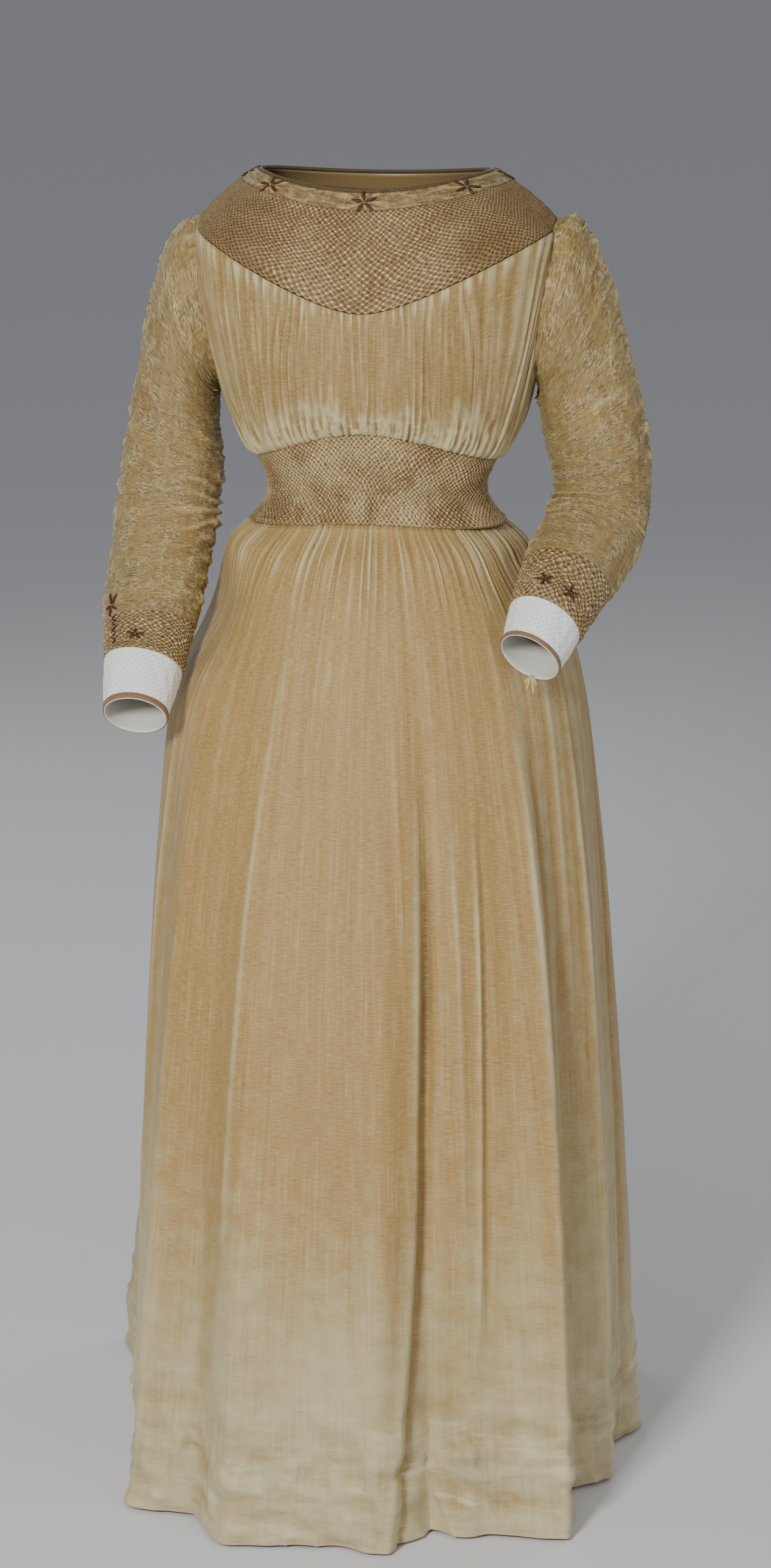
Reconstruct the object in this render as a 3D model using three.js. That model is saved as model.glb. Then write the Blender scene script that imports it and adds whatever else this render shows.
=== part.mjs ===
// A smocked silk dress of the 1880s in its worn form. A smocked yoke and waist hold a finely
// gathered bodice, the skirt is gathered under the waist, and the long narrow sleeves end in
// smocked wrists and pale cuffs. Every piece is a thin cloth wall, open where the dress is open.
//
// Units are millimetres, +Z is up, the front faces -Y and +X is the wearer's left. The origin
// is the middle of the shoulder line, where the wearer's shoulders carry the dress.
import * as THREE from 'three';

// ---- Driving dimensions -------------------------------------------------------------------

const WALL = 1.8;               // thickness of cloth with its seam turnings
const SEAM_GAP = 0.35;          // space between pieces at a seam
const HEM_Z = -1354;            // height of the hem, under the shoulder line

const NECK_HALF_WIDTH = 114;
const NECK_DEPTH = 78;          // half the neck's length from front to back
const NECK_CENTRE_Y = -8;
const NECK_DROP_FRONT = 15;     // the neck edge at the front lies this far under the shoulders
const NECK_DROP_BACK = 8;
const BINDING_HEIGHT = 3.6;
const BAND_HEIGHT = 20;         // plain strip between the binding and the smocking

const ARMHOLE_X = 167;          // centre of the armhole's ellipse
const ARMHOLE_Y = 5;
const ARMHOLE_Z = -129.5;
const ARMHOLE_LEAN = 11;        // the top of the armhole lies this much further out
const ARMHOLE_HALF_HEIGHT = 79.5;
const ARMHOLE_HALF_DEPTH = 55;

const YOKE_POINT_Z = -132;      // lower edge of the yoke at the centre front
const YOKE_POINT_Y = -122;
const YOKE_BACK_Z = -118;       // lower edge of the yoke at the centre back
const YOKE_BACK_Y = 106;
const YOKE_EDGE_ANGLE = 28;     // the yoke covers the armhole's top, this far each way, in degrees
const YOKE_FRONT_SHARE = 72;    // turn round the neck at which the front edge meets the armhole
const YOKE_BACK_SHARE = 110;    // and the same for the back edge, in degrees from the front
const YOKE_FRONT_CURVE = 1.22;  // 1 makes the lower edge straight to its point, 2 an arc
const YOKE_BACK_CURVE = 1.5;
const YOKE_POINT_ROUND = 0.16;  // share of the half width over which the point is rounded off
const YOKE_SWELL = { side: 5, front: 5.4, up: 6.8 };  // of the cloth's middle over its chord

const WAIST_POINT_Z = -253;     // top of the smocked waist at the centre front
const WAIST_SIDE_Z = -288;      // and at the sides and back
const WAIST_FOOT_FRONT_Z = -343;
const WAIST_FOOT_Z = -353;

const SMOCK_RELIEF = 1.5;       // height of a smocking cell over the wall
const BODICE_GATHERS = 44;      // in each of the two bodice panels
const BODICE_RELIEF = 1.6;
const HUNG_SHARE = 0.87;        // of a half panel hangs from the yoke, the rest from the armhole
const CENTRE_CROWDING = 0.69;   // spacing of the gathers at the centre, where 1 is even
const SIDE_FAN = 47.5;          // degrees by which the last gathers spread to the armhole
const BODICE_FORWARD = { centre: 8, frontSide: 62, backSide: 68 };  // reach of the hanging cloth
const BODICE_FALL = { centre: 40, side: 20 };
const BLOUSING = { out: 26, up: 18 };  // of the bodice over the waist
const SKIRT_GATHERS = 48;       // in each of the two skirt panels
const SKIRT_GATHER_DEPTH = 3.2;
const SLEEVE_SEAM = 0.0055;     // angle from the seam's plane to each half's edge, in radians
const SLEEVE_COLUMNS = 20;
const WRIST_COLUMNS = 28;
const WRIST_ROWS = 4;

// Form of the waist and skirt: half the width at the sides, and the depth to front and back.
const FORM = [
  { z: -250, side: 134, front: 104, back: 98 },
  { z: -288, side: 121, front: 95, back: 92 },
  { z: -305, side: 113, front: 90, back: 86 },
  { z: -321, side: 110.5, front: 88, back: 83 },
  { z: -337, side: 117, front: 93, back: 90 },
  { z: -352, side: 130, front: 101, back: 101 },
  { z: -365, side: 149, front: 113, back: 119 },
  { z: -380, side: 164, front: 126, back: 136 },
  { z: -420, side: 185, front: 147, back: 162 },
  { z: -480, side: 203, front: 167, back: 187 },
  { z: -543, side: 216, front: 184, back: 209 },
  { z: -650, side: 228, front: 208, back: 240 },
  { z: -771, side: 239, front: 229, back: 266 },
  { z: -1042, side: 256, front: 260, back: 302 },
  { z: HEM_Z, side: 268, front: 290, back: 334 },
];

// The skirt's large folds. `top` and `hem` are the fold's direction in degrees from the centre
// front, towards the wearer's left, `width` is half its breadth in degrees, `out` how far it
// stands out at the hem (in, where negative), and `from` the height where it begins.
const FOLDS = [
  { top: -50, hem: -46, width: 9, out: 32, from: -400 },
  { top: -37, hem: -34, width: 5, out: -9, from: -640 },
  { top: -26, hem: -21, width: 8, out: 30, from: -430 },
  { top: 9, hem: 9, width: 6, out: 14, from: -500 },
  { top: 21, hem: 20, width: 6, out: -34, from: -400 },
  { top: 35, hem: 31, width: 4, out: -4, from: -560 },
  { top: 51, hem: 44.5, width: 7, out: 46, from: -400 },
  { top: 60, hem: 60, width: 6, out: -22, from: -440 },
  { top: 72, hem: 71, width: 5, out: 7, from: -470 },
  { top: 84, hem: 86, width: 6, out: -16, from: -480 },
  { top: 101, hem: 104, width: 8, out: 12, from: -430 },
  { top: 118, hem: 119, width: 6, out: -14, from: -480 },
  { top: 134, hem: 135, width: 9, out: 38, from: -430 },
  { top: 151, hem: 152, width: 7, out: -20, from: -460 },
  { top: 167, hem: 168, width: 8, out: 26, from: -420 },
  { top: -178, hem: -176, width: 6, out: -16, from: -470 },
  { top: -163, hem: -161, width: 9, out: 30, from: -420 },
  { top: -146, hem: -144, width: 6, out: -22, from: -480 },
  { top: -122, hem: -124, width: 11, out: 92, from: -420 },
  { top: -104, hem: -102, width: 7, out: -16, from: -480 },
  { top: -86, hem: -86, width: 9, out: -20, from: -440 },
  { top: -72, hem: -71, width: 5, out: -5, from: -520 },
  { top: -62, hem: -59, width: 5, out: -16, from: -520 },
];

// Where the forearms press the skirt in, under the smocked waist.
const ARM_DENTS = [
  { turn: -76, z: -436, width: 26, height: 60, depth: 32 },
  { turn: 76, z: -395, width: 26, height: 50, depth: 20 },
];

// Stations down each sleeve: a point of its outer edge and of its inner edge, and half its
// depth from front to back. The sleeve's first ring is the armhole. X is positive outwards.
const RIGHT_SLEEVE = [
  { outer: [197, 5, -60], inner: [163, 5, -213], deep: 56 },
  { outer: [211, 5, -80], inner: [167, 6, -221], deep: 55 },
  { outer: [224, 6, -112], inner: [167, 8, -230], deep: 53 },
  { outer: [236, 8, -156], inner: [166, 8, -244], deep: 51 },
  { outer: [246, 10, -208], inner: [165, 8, -264], deep: 49 },
  { outer: [255, 10, -262], inner: [163, 8, -292], deep: 47 },
  { outer: [264, 7, -315], inner: [164, 7, -324], deep: 45 },
  { outer: [269, -2, -362], inner: [168, -1, -357], deep: 43 },
  { outer: [271, -20, -402], inner: [172, -20, -396], deep: 41 },
  { outer: [271, -44, -436], inner: [176, -44, -432], deep: 38 },
  { outer: [270, -64, -460], inner: [180, -64, -458], deep: 36 },
];
const LEFT_SLEEVE = [
  { outer: [198, 5, -48], inner: [162, 5, -213], deep: 56 },
  { outer: [211, 5, -63], inner: [164, 6, -221], deep: 56 },
  { outer: [226, 7, -98], inner: [164, 8, -231], deep: 54 },
  { outer: [243, 9, -148], inner: [166, 9, -248], deep: 52 },
  { outer: [259, 12, -204], inner: [170, 11, -268], deep: 49 },
  { outer: [271, 14, -266], inner: [177, 13, -295], deep: 47 },
  { outer: [275, 11, -322], inner: [180, 11, -320], deep: 45 },
  { outer: [271, -3, -365], inner: [176, -5, -342], deep: 43 },
  { outer: [259, -27, -393], inner: [169, -32, -358], deep: 41 },
  { outer: [240, -65, -418], inner: [159, -68, -377], deep: 39 },
];
const RIGHT_WRIST = { outer: [266, -94, -489], inner: [186, -93, -500], deep: 34 };
const LEFT_WRIST = { outer: [214, -112, -454], inner: [151, -116, -412], deep: 35 };
const RIGHT_CUFF = { outer: [257, -140, -533], inner: [194, -140, -536], deep: 29 };
const LEFT_CUFF = { outer: [196, -145, -480], inner: [145, -148, -444], deep: 30 };

const TRIM_FROM = 0.86;         // the trim's place on the cuff, from wrist to end
const TRIM_TO = 0.985;
const TRIM_THICKNESS = 1.2;

// ---- Small helpers ------------------------------------------------------------------------

const degrees = (angle) => (angle * Math.PI) / 180;
const mix = (a, b, share) => a + (b - a) * share;
const clamp = (value) => Math.min(1, Math.max(0, value));
const soften = (value) => clamp(value) ** 2 * (3 - 2 * clamp(value));
const steps = (count) => Array.from({ length: count + 1 }, (_, index) => index / count);
const point = (x, y, z) => new THREE.Vector3(x, y, z);

// A value from a table whose rows are ordered by falling z, on a smooth curve through its rows.
function tableAt(rows, column, z) {
  const last = rows.length - 1;
  let row = 0;
  while (row < last - 1 && rows[row + 1].z > z) {
    row += 1;
  }
  const slope = (index) => {
    const above = rows[Math.max(0, index - 1)];
    const below = rows[Math.min(last, index + 1)];
    return (below[column] - above[column]) / (below.z - above.z);
  };
  const span = rows[row + 1].z - rows[row].z;
  const share = clamp((z - rows[row].z) / span);
  const rise = share * share * (3 - 2 * share);
  const leave = share * (1 - share) ** 2 * span * slope(row);
  const arrive = share * share * (share - 1) * span * slope(row + 1);
  return mix(rows[row][column], rows[row + 1][column], rise) + leave + arrive;
}

// Outward normal of a surface given by two shares, taken over a small step.
function normalOf(surface, across, down) {
  const step = 0.002;
  const alongAcross = surface(across + step, down).sub(surface(across - step, down));
  const alongDown = surface(across, down + step).sub(surface(across, down - step));
  return alongDown.cross(alongAcross).normalize();
}

// ---- Walls --------------------------------------------------------------------------------

// Fills the strip between two rows of point numbers, which may differ in length.
function zip(upper, lower, closed, faces) {
  const upperSteps = closed ? upper.length : upper.length - 1;
  const lowerSteps = closed ? lower.length : lower.length - 1;
  let i = 0;
  let j = 0;
  while (i < upperSteps || j < lowerSteps) {
    const upperFirst = (i + 1) / upperSteps <= (j + 1) / lowerSteps;
    const here = upper[i % upper.length];
    const under = lower[j % lower.length];
    if (j >= lowerSteps || (i < upperSteps && upperFirst)) {
      i += 1;
      faces.push([here, under, upper[i % upper.length]]);
    } else {
      j += 1;
      faces.push([here, under, lower[j % lower.length]]);
    }
  }
}

// A closed cloth wall between an outer and an inner grid of points, each a list of rows.
function wall(name, outerRows, innerRows, closed, finish) {
  const points = [];
  const faces = [];
  const number = (rows) => rows.map((row) => row.map((place) => points.push(place) - 1));
  const outer = number(outerRows);
  const inner = number(innerRows);
  for (let row = 0; row < outer.length - 1; row += 1) {
    zip(outer[row], outer[row + 1], closed, faces);
  }
  for (let row = 0; row < inner.length - 1; row += 1) {
    zip(inner[row + 1], inner[row], closed, faces);
  }
  zip(inner[0], outer[0], closed, faces);
  zip(outer.at(-1), inner.at(-1), closed, faces);
  if (!closed) {
    const edge = (rows, at) => rows.map((row) => row.at(at));
    zip(edge(outer, 0), edge(inner, 0), false, faces);
    zip(edge(inner, -1), edge(outer, -1), false, faces);
  }

  let volume = 0;
  for (const [a, b, c] of faces) {
    volume += points[a].dot(points[b].clone().cross(points[c]));
  }
  const outward = volume > 0 ? faces : faces.map(([a, b, c]) => [a, c, b]);
  const geometry = new THREE.BufferGeometry();
  geometry.setFromPoints(points);
  geometry.setIndex(outward.flat());
  geometry.computeVertexNormals();
  const mesh = new THREE.Mesh(geometry, finish);
  mesh.name = name;
  return mesh;
}

// Rows of points over a surface. `lift` gives each point's height over the surface, along the
// normal, from its column, row and shares.
function grid(surface, normal, acrossShares, downShares, lift) {
  return downShares.map((down, row) => acrossShares.map((across, column) => {
    const place = surface(across, down);
    return place.addScaledVector(normal(across, down), lift(column, row, across, down));
  }));
}

// Honeycomb smocking: raised and sunk cells in turn, plain along both edges.
const smocking = (rowCount) => (column, row) => {
  const edge = row === 0 || row === rowCount;
  return !edge && (column + row) % 2 === 0 ? SMOCK_RELIEF : 0;
};
const flat = () => 0;
const inside = () => -WALL;

// ---- Materials ----------------------------------------------------------------------------

const silk = new THREE.MeshStandardMaterial({ color: 0xb39d72, roughness: 0.55, metalness: 0 });
const smocked = new THREE.MeshStandardMaterial({ color: 0x9a8259, roughness: 0.65, metalness: 0 });
const pale = new THREE.MeshStandardMaterial({ color: 0xd8d6c6, roughness: 0.6, metalness: 0 });
const trim = new THREE.MeshStandardMaterial({ color: 0x8a6f4a, roughness: 0.7, metalness: 0 });
const binding = new THREE.MeshStandardMaterial({ color: 0x4d4630, roughness: 0.7, metalness: 0 });

// ---- Neck and yoke ------------------------------------------------------------------------

// Turns are in degrees from the centre front, positive towards the wearer's left.
function neckEdge(turn) {
  const toFront = Math.cos(degrees(turn));
  const drop = mix(NECK_DROP_BACK, NECK_DROP_FRONT, (toFront + 1) / 2) * toFront ** 2;
  return point(
    NECK_HALF_WIDTH * Math.sin(degrees(turn)),
    NECK_CENTRE_Y - NECK_DEPTH * toFront,
    -drop,
  );
}

// A point of the armhole. `side` is 1 on the wearer's left, `angle` is from its top to the front.
function armhole(side, angle) {
  const up = Math.cos(degrees(angle));
  const forward = Math.sin(degrees(angle));
  return point(
    side * (ARMHOLE_X + ARMHOLE_LEAN * up),
    ARMHOLE_Y - ARMHOLE_HALF_DEPTH * forward,
    ARMHOLE_Z + ARMHOLE_HALF_HEIGHT * up,
  );
}

// The yoke's lower edge over the front or back: an arc that falls to a point at the centre.
// `spread` is 0 at the centre and 90 at the armhole.
function yokeArc(side, front, spread) {
  const corner = armhole(side, front ? YOKE_EDGE_ANGLE : -YOKE_EDGE_ANGLE);
  const outward = Math.sin(degrees(spread));
  const centreY = front ? YOKE_POINT_Y : YOKE_BACK_Y;
  const centreZ = front ? YOKE_POINT_Z : YOKE_BACK_Z;
  const curve = front ? YOKE_FRONT_CURVE : YOKE_BACK_CURVE;
  const rounded = (share) => Math.hypot(share, YOKE_POINT_ROUND) ** curve;
  const rise = (rounded(outward) - rounded(0)) / (rounded(1) - rounded(0));
  return point(
    corner.x * outward,
    mix(corner.y, centreY, Math.cos(degrees(spread))),
    mix(centreZ, corner.z, rise),
  );
}

function yokeEdge(turn) {
  const side = turn < 0 ? -1 : 1;
  const away = Math.abs(turn);
  if (away <= YOKE_FRONT_SHARE) {
    return yokeArc(side, true, (90 * away) / YOKE_FRONT_SHARE);
  }
  if (away >= YOKE_BACK_SHARE) {
    return yokeArc(side, false, (90 * (180 - away)) / (180 - YOKE_BACK_SHARE));
  }
  const share = (away - YOKE_FRONT_SHARE) / (YOKE_BACK_SHARE - YOKE_FRONT_SHARE);
  return armhole(side, mix(YOKE_EDGE_ANGLE, -YOKE_EDGE_ANGLE, share));
}

const wrapTurn = (turn) => ((((turn + 180) % 360) + 360) % 360) - 180;

// The surface of neck and yoke. `across` is a turn in degrees and `down` runs from the neck
// edge to the yoke's lower edge.
function yokeSurface(across, down) {
  const turn = wrapTurn(across);
  const neck = neckEdge(turn);
  const edge = yokeEdge(turn);
  const middle = neck.clone().add(edge).multiplyScalar(0.5);
  middle.x += YOKE_SWELL.side * Math.sin(degrees(turn));
  middle.y -= YOKE_SWELL.front * Math.cos(degrees(turn));
  middle.z += YOKE_SWELL.up;
  return neck.multiplyScalar((1 - down) ** 2)
    .addScaledVector(middle, 2 * down * (1 - down))
    .addScaledVector(edge, down ** 2);
}

const yokeLength = (turn) => neckEdge(wrapTurn(turn)).distanceTo(yokeEdge(wrapTurn(turn)));

// The same surface between two distances from the neck edge. A `to` of 0 is the lower edge.
function yokeStretch(from, to) {
  return (across, down) => {
    const length = yokeLength(across);
    const start = from / length;
    const end = to === 0 ? 1 - SEAM_GAP / length : to / length;
    return yokeSurface(across, mix(start, end, down));
  };
}

const fullTurn = (columns) => Array.from({ length: columns }, (_, index) => (360 * index) / columns);

// Outward normal of a surface whose `across` is a turn in degrees.
function ringNormal(surface) {
  const sideStep = 0.4;
  const downStep = 0.004;
  return (across, down) => {
    const alongAcross = surface(across + sideStep, down).sub(surface(across - sideStep, down));
    const alongDown = surface(across, down + downStep).sub(surface(across, down - downStep));
    return alongDown.cross(alongAcross).normalize();
  };
}

const outwardAt = (turn) => point(Math.sin(degrees(turn)), -Math.cos(degrees(turn)), 0);

function ringWall(name, surface, columns, rows, lift, innerColumns, innerRows, finish, levelEdges) {
  const own = ringNormal(surface);
  const normal = (across, down) => {
    const level = levelEdges && (down === 0 || down === 1);
    return level ? outwardAt(across) : own(across, down);
  };
  const outer = grid(surface, normal, fullTurn(columns), steps(rows), lift);
  const inner = grid(surface, normal, fullTurn(innerColumns), steps(innerRows), inside);
  return wall(name, outer, inner, true, finish);
}

function makeNeck() {
  const proud = () => 0.8;
  const bandTop = BINDING_HEIGHT + SEAM_GAP;
  const bandFoot = BINDING_HEIGHT + BAND_HEIGHT;
  const bandSurface = yokeStretch(bandTop, bandFoot);
  const pucker = (column, row) => (row === 1 && column % 2 === 0 ? 0.8 : 0);
  return [
    ringWall('neck_binding', yokeStretch(0, BINDING_HEIGHT), 48, 1, proud, 48, 1, binding),
    ringWall('neck_band', bandSurface, 72, 2, pucker, 36, 1, silk),
  ];
}

function makeYoke() {
  const rows = 6;
  const surface = yokeStretch(BINDING_HEIGHT + BAND_HEIGHT + SEAM_GAP, 0);
  return ringWall('yoke', surface, 144, rows, smocking(rows), 72, 3, smocked);
}

// ---- Waist --------------------------------------------------------------------------------

// Radius of the waist and skirt at a direction and height, as an ellipse for front or back.
function formRadius(turn, z) {
  const side = tableAt(FORM, 'side', z);
  const toFront = Math.cos(degrees(turn));
  const deep = tableAt(FORM, toFront > 0 ? 'front' : 'back', z);
  return (side * deep) / Math.hypot(deep * Math.sin(degrees(turn)), side * toFront);
}

const waistTop = (turn) => mix(WAIST_SIDE_Z, WAIST_POINT_Z, Math.max(0, Math.cos(degrees(turn))) ** 2);
const waistFoot = (turn) => mix(WAIST_FOOT_Z, WAIST_FOOT_FRONT_Z, Math.max(0, Math.cos(degrees(turn))) ** 2);

function around(turn, radius, z) {
  return point(radius * Math.sin(degrees(turn)), -radius * Math.cos(degrees(turn)), z);
}

function waistSurface(across, down) {
  const z = mix(waistTop(across), waistFoot(across), down);
  return around(across, formRadius(across, z), z);
}

function makeWaist() {
  const rows = 6;
  return ringWall('waist_smocking', waistSurface, 120, rows, smocking(rows), 60, 4, smocked, true);
}

// ---- Bodice -------------------------------------------------------------------------------

const SIDE_SEAM = 0.999;        // the panels stop short of the side by half a seam gap

// Where a column of the bodice starts. `across` is -1 to 1 from side seam to side seam.
function bodiceStart(front, across) {
  const side = across < 0 ? -1 : 1;
  const away = Math.abs(across);
  if (away <= HUNG_SHARE) {
    const even = Math.asin(CENTRE_CROWDING * Math.sin(degrees(90 * away))) * (180 / Math.PI);
    const fan = SIDE_FAN * (away / HUNG_SHARE) ** 6;
    return { side, spread: Math.min(90, even + fan), armhole: 0 };
  }
  return { side, spread: 90, armhole: (away - HUNG_SHARE) / (1 - HUNG_SHARE) };
}

// A column runs down on a cubic curve: it leaves its start in the yoke's direction, passes in
// front of (or behind) the armhole, blouses out and turns in to the waist.
function bodiceSurface(front) {
  const facing = front ? -1 : 1;
  return (across, down) => {
    const from = bodiceStart(front, across);
    const away = Math.abs(across);
    const angle = mix(YOKE_EDGE_ANGLE, 180, from.armhole) * (front ? 1 : -1);
    const start = from.armhole > 0 ? armhole(from.side, angle) : yokeArc(from.side, front, from.spread);
    const turn = front ? 90 * across : 180 - 90 * across;
    const waist = waistSurface(turn, 0);
    waist.z += 2 * SEAM_GAP;
    const outward = outwardAt(turn);

    const sideForward = front ? BODICE_FORWARD.frontSide : BODICE_FORWARD.backSide;
    const forward = from.armhole > 0
      ? sideForward * (1 - from.armhole) ** 4
      : mix(BODICE_FORWARD.centre, sideForward, (away / HUNG_SHARE) ** 10);
    const fall = mix(BODICE_FALL.centre, BODICE_FALL.side, from.armhole);
    const leave = point(start.x, start.y + facing * forward, start.z - fall);
    const arrive = waist.clone().addScaledVector(outward, BLOUSING.out);
    arrive.z += BLOUSING.up;
    return start.multiplyScalar((1 - down) ** 3)
      .addScaledVector(leave, 3 * down * (1 - down) ** 2)
      .addScaledVector(arrive, 3 * down ** 2 * (1 - down))
      .addScaledVector(waist, down ** 3);
  };
}

function makeBodicePanel(name, front) {
  const surface = bodiceSurface(front);
  const columns = 2 * BODICE_GATHERS;
  const rows = [0.004, 0.12, 0.36, 0.62, 0.84, 1];
  const innerRows = [0.004, 0.3, 0.7, 1];
  const shares = (count) => steps(count).map((share) => mix(-SIDE_SEAM, SIDE_SEAM, share));
  const normal = (across, down) => {
    const turn = front ? 90 * across : 180 - 90 * across;
    const outward = outwardAt(turn);
    const near = Math.max(0.01, Math.min(0.99, down));
    const within = Math.max(-0.996, Math.min(0.996, across));
    const own = normalOf(surface, within, near);
    if (own.dot(outward) < 0) {
      own.negate();
    }
    const from = bodiceStart(front, across);
    if (down < 0.01 && from.armhole === 0) {
      const share = front ? YOKE_FRONT_SHARE : 180 - YOKE_BACK_SHARE;
      const along = from.side * (from.spread / 90) * share;
      const yokeTurn = front ? along : 180 - along;
      return yokeNormal(yokeTurn);
    }
    return down > 0.99 ? outward : own;
  };
  const relief = (column, row, across) => {
    const edge = row === 0 || row === rows.length - 1;
    const plain = Math.abs(across) > HUNG_SHARE;
    return column % 2 === 0 || plain ? 0 : BODICE_RELIEF * (edge ? 0.4 : 1);
  };
  const outer = grid(surface, normal, shares(columns), rows, relief);
  const inner = grid(surface, normal, shares(columns / 2), innerRows, inside);
  return wall(name, outer, inner, false, silk);
}

function yokeNormal(turn) {
  const sideStep = 0.4;
  const downStep = 0.004;
  const along = yokeSurface(turn + sideStep, 1).sub(yokeSurface(turn - sideStep, 1));
  const down = yokeSurface(turn, 1).sub(yokeSurface(turn, 1 - downStep));
  return down.cross(along).normalize();
}

// ---- Skirt --------------------------------------------------------------------------------

// How far a fold of height 1 stands out at a share of its way from its start to the hem. It
// opens early, under the hips, and then widens slowly.
const foldGrowth = (grown) => 1.75 * soften(0.5 * grown + 0.1 * soften(4 * grown));

// A fold's section: a round crest, somewhat flatter than a bell.
const foldSection = (away) => Math.exp(-(away ** 1.7));

// How far the large folds move the skirt out or in at a direction and height.
function foldAt(turn, z) {
  let out = 0;
  for (const fold of FOLDS) {
    const grown = clamp((fold.from - z) / (fold.from - HEM_Z));
    const away = Math.abs(wrapTurn(turn - mix(fold.top, fold.hem, grown))) / fold.width;
    out += fold.out * foldGrowth(grown) * foldSection(away);
  }
  return out;
}

function armDent(turn, z) {
  let depth = 0;
  for (const dent of ARM_DENTS) {
    const across = wrapTurn(turn - dent.turn) / dent.width;
    const up = (z - dent.z) / dent.height;
    depth += dent.depth * Math.exp(-(across ** 2) - up ** 2);
  }
  return depth;
}

const skirtTop = (turn) => waistFoot(turn) - SEAM_GAP;

function skirtSurface(across, down) {
  const z = mix(skirtTop(across), HEM_Z, down);
  return around(across, formRadius(across, z) + foldAt(across, z) - armDent(across, z), z);
}

// Depth of the fine gathers, which fade out below the hips.
function gatherDepth(down) {
  const grow = mix(0.35, 1, soften(down / 0.03));
  return SKIRT_GATHER_DEPTH * grow * (1 - soften(down / 0.26));
}

function makeSkirtPanel(name, front) {
  const middle = front ? 0 : 180;
  const fine = 2 * SKIRT_GATHERS;
  const coarse = 36;
  const rowsAt = (columns, downs) => downs.map((down) => ({ down, columns }));
  const gathered = rowsAt(fine, [0, 0.025, 0.075, 0.15]);
  const outerRows = [
    ...gathered,
    ...rowsAt(coarse, [0.22, 0.3, 0.42, 0.56, 0.7, 0.83, 0.925, 1]),
  ];
  const innerRows = [...gathered, ...rowsAt(coarse, [0.22, 0.42, 0.7, 1])];
  const normal = (across, down) => {
    const sideStep = 0.6;
    const downStep = 0.004;
    const top = Math.max(downStep, down);
    const along = skirtSurface(across + sideStep, down).sub(skirtSurface(across - sideStep, down));
    const fall = skirtSurface(across, top + downStep).sub(skirtSurface(across, top - downStep));
    const own = fall.cross(along).normalize();
    return down < 0.01 ? outwardAt(across) : own;
  };
  // At a side seam the wall's edge stays in the seam's own upright plane.
  const edgeNormal = (across, down) => {
    const sideways = outwardAt(across + 90);
    const own = normal(across, down);
    return own.addScaledVector(sideways, -own.dot(sideways)).normalize();
  };
  const rowOf = (height) => ({ down, columns }) => steps(columns).map((share, column) => {
    const rough = middle + mix(-90, 90, share);
    const radius = formRadius(rough, mix(skirtTop(rough), HEM_Z, down));
    const seam = (SEAM_GAP / 2 / radius) * (180 / Math.PI);
    const across = middle + mix(-90 + seam, 90 - seam, share);
    const gather = columns === fine ? gatherDepth(down) * (column % 2 === 0 ? -1 : 1) : 0;
    const isSeam = column === 0 || column === columns;
    const away = isSeam ? edgeNormal(across, down) : normal(across, down);
    return skirtSurface(across, down).addScaledVector(away, gather + height);
  });
  return wall(name, outerRows.map(rowOf(0)), innerRows.map(rowOf(-WALL)), false, silk);
}

// ---- Sleeves ------------------------------------------------------------------------------

const wholeRing = (columns) => steps(columns).slice(1).map((share) => 2 * Math.PI * share);

// Angles of the half of a ring that starts at `start`, short of the seams at its two ends.
const halfRing = (columns, start) => steps(columns / 2).map((share) => (
  start + mix(SLEEVE_SEAM, Math.PI - SLEEVE_SEAM, share)
));

// Points of an oval between a station's outer and inner edge. The angles are in radians from the
// outer edge, and `lift` gives each column's height over the oval.
function sleeveRing(side, station, along, angles, lift) {
  const outer = point(side * station.outer[0], station.outer[1], station.outer[2]);
  const inner = point(side * station.inner[0], station.inner[1], station.inner[2]);
  const middle = outer.clone().add(inner).multiplyScalar(0.5);
  const toOuter = outer.clone().sub(middle);
  const reach = toOuter.length();
  toOuter.normalize();
  const toDeep = along.clone().cross(toOuter).normalize();
  return angles.map((angle, column) => {
    const height = lift(column);
    return middle.clone()
      .addScaledVector(toOuter, (reach + height) * Math.cos(angle))
      .addScaledVector(toDeep, (station.deep + height) * Math.sin(angle));
  });
}

// The direction of the sleeve at each station, from the stations around it.
function directions(side, stations) {
  const middles = stations.map(({ outer, inner }) => point(
    (side * (outer[0] + inner[0])) / 2,
    (outer[1] + inner[1]) / 2,
    (outer[2] + inner[2]) / 2,
  ));
  return middles.map((middle, index) => {
    const before = middles[Math.max(0, index - 1)];
    const after = middles[Math.min(middles.length - 1, index + 1)];
    return after.clone().sub(before).normalize();
  });
}

const between = (a, b, share) => ({
  outer: a.outer.map((value, axis) => mix(value, b.outer[axis], share)),
  inner: a.inner.map((value, axis) => mix(value, b.inner[axis], share)),
  deep: mix(a.deep, b.deep, share),
});

// The armhole as a sleeve station, moved out of the bodice by the seam gap.
const armholeStation = () => {
  const top = armhole(1, 0);
  const foot = armhole(1, 180);
  const apart = 1.4 * SEAM_GAP;  // the armhole leans, so the gap across the seam is narrower
  return {
    outer: [top.x + apart, top.y, top.z],
    inner: [foot.x + apart, foot.y, foot.z],
    deep: ARMHOLE_HALF_DEPTH,
  };
};

// A piece of the arm between two of its stations, parted from its neighbours by the seam gap.
function sleevePiece(name, arm, first, last, angles, lift, finish) {
  const isHalf = angles.at(-1) - angles[0] < Math.PI;
  const ringsWith = (height) => {
    const rings = [];
    for (let index = first; index <= last; index += 1) {
      const ring = sleeveRing(arm.side, arm.stations[index], arm.along[index], angles, (column) => (
        height(column, index - first)
      ));
      const isSeamAbove = index === first && first > 0;
      const isSeamBelow = index === last && last < arm.stations.length - 1;
      const shift = (isSeamAbove ? SEAM_GAP / 2 : 0) - (isSeamBelow ? SEAM_GAP / 2 : 0);
      rings.push(ring.map((place) => place.addScaledVector(arm.along[index], shift)));
    }
    return rings;
  };
  return wall(name, ringsWith(lift), ringsWith(inside), !isHalf, finish);
}

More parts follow.
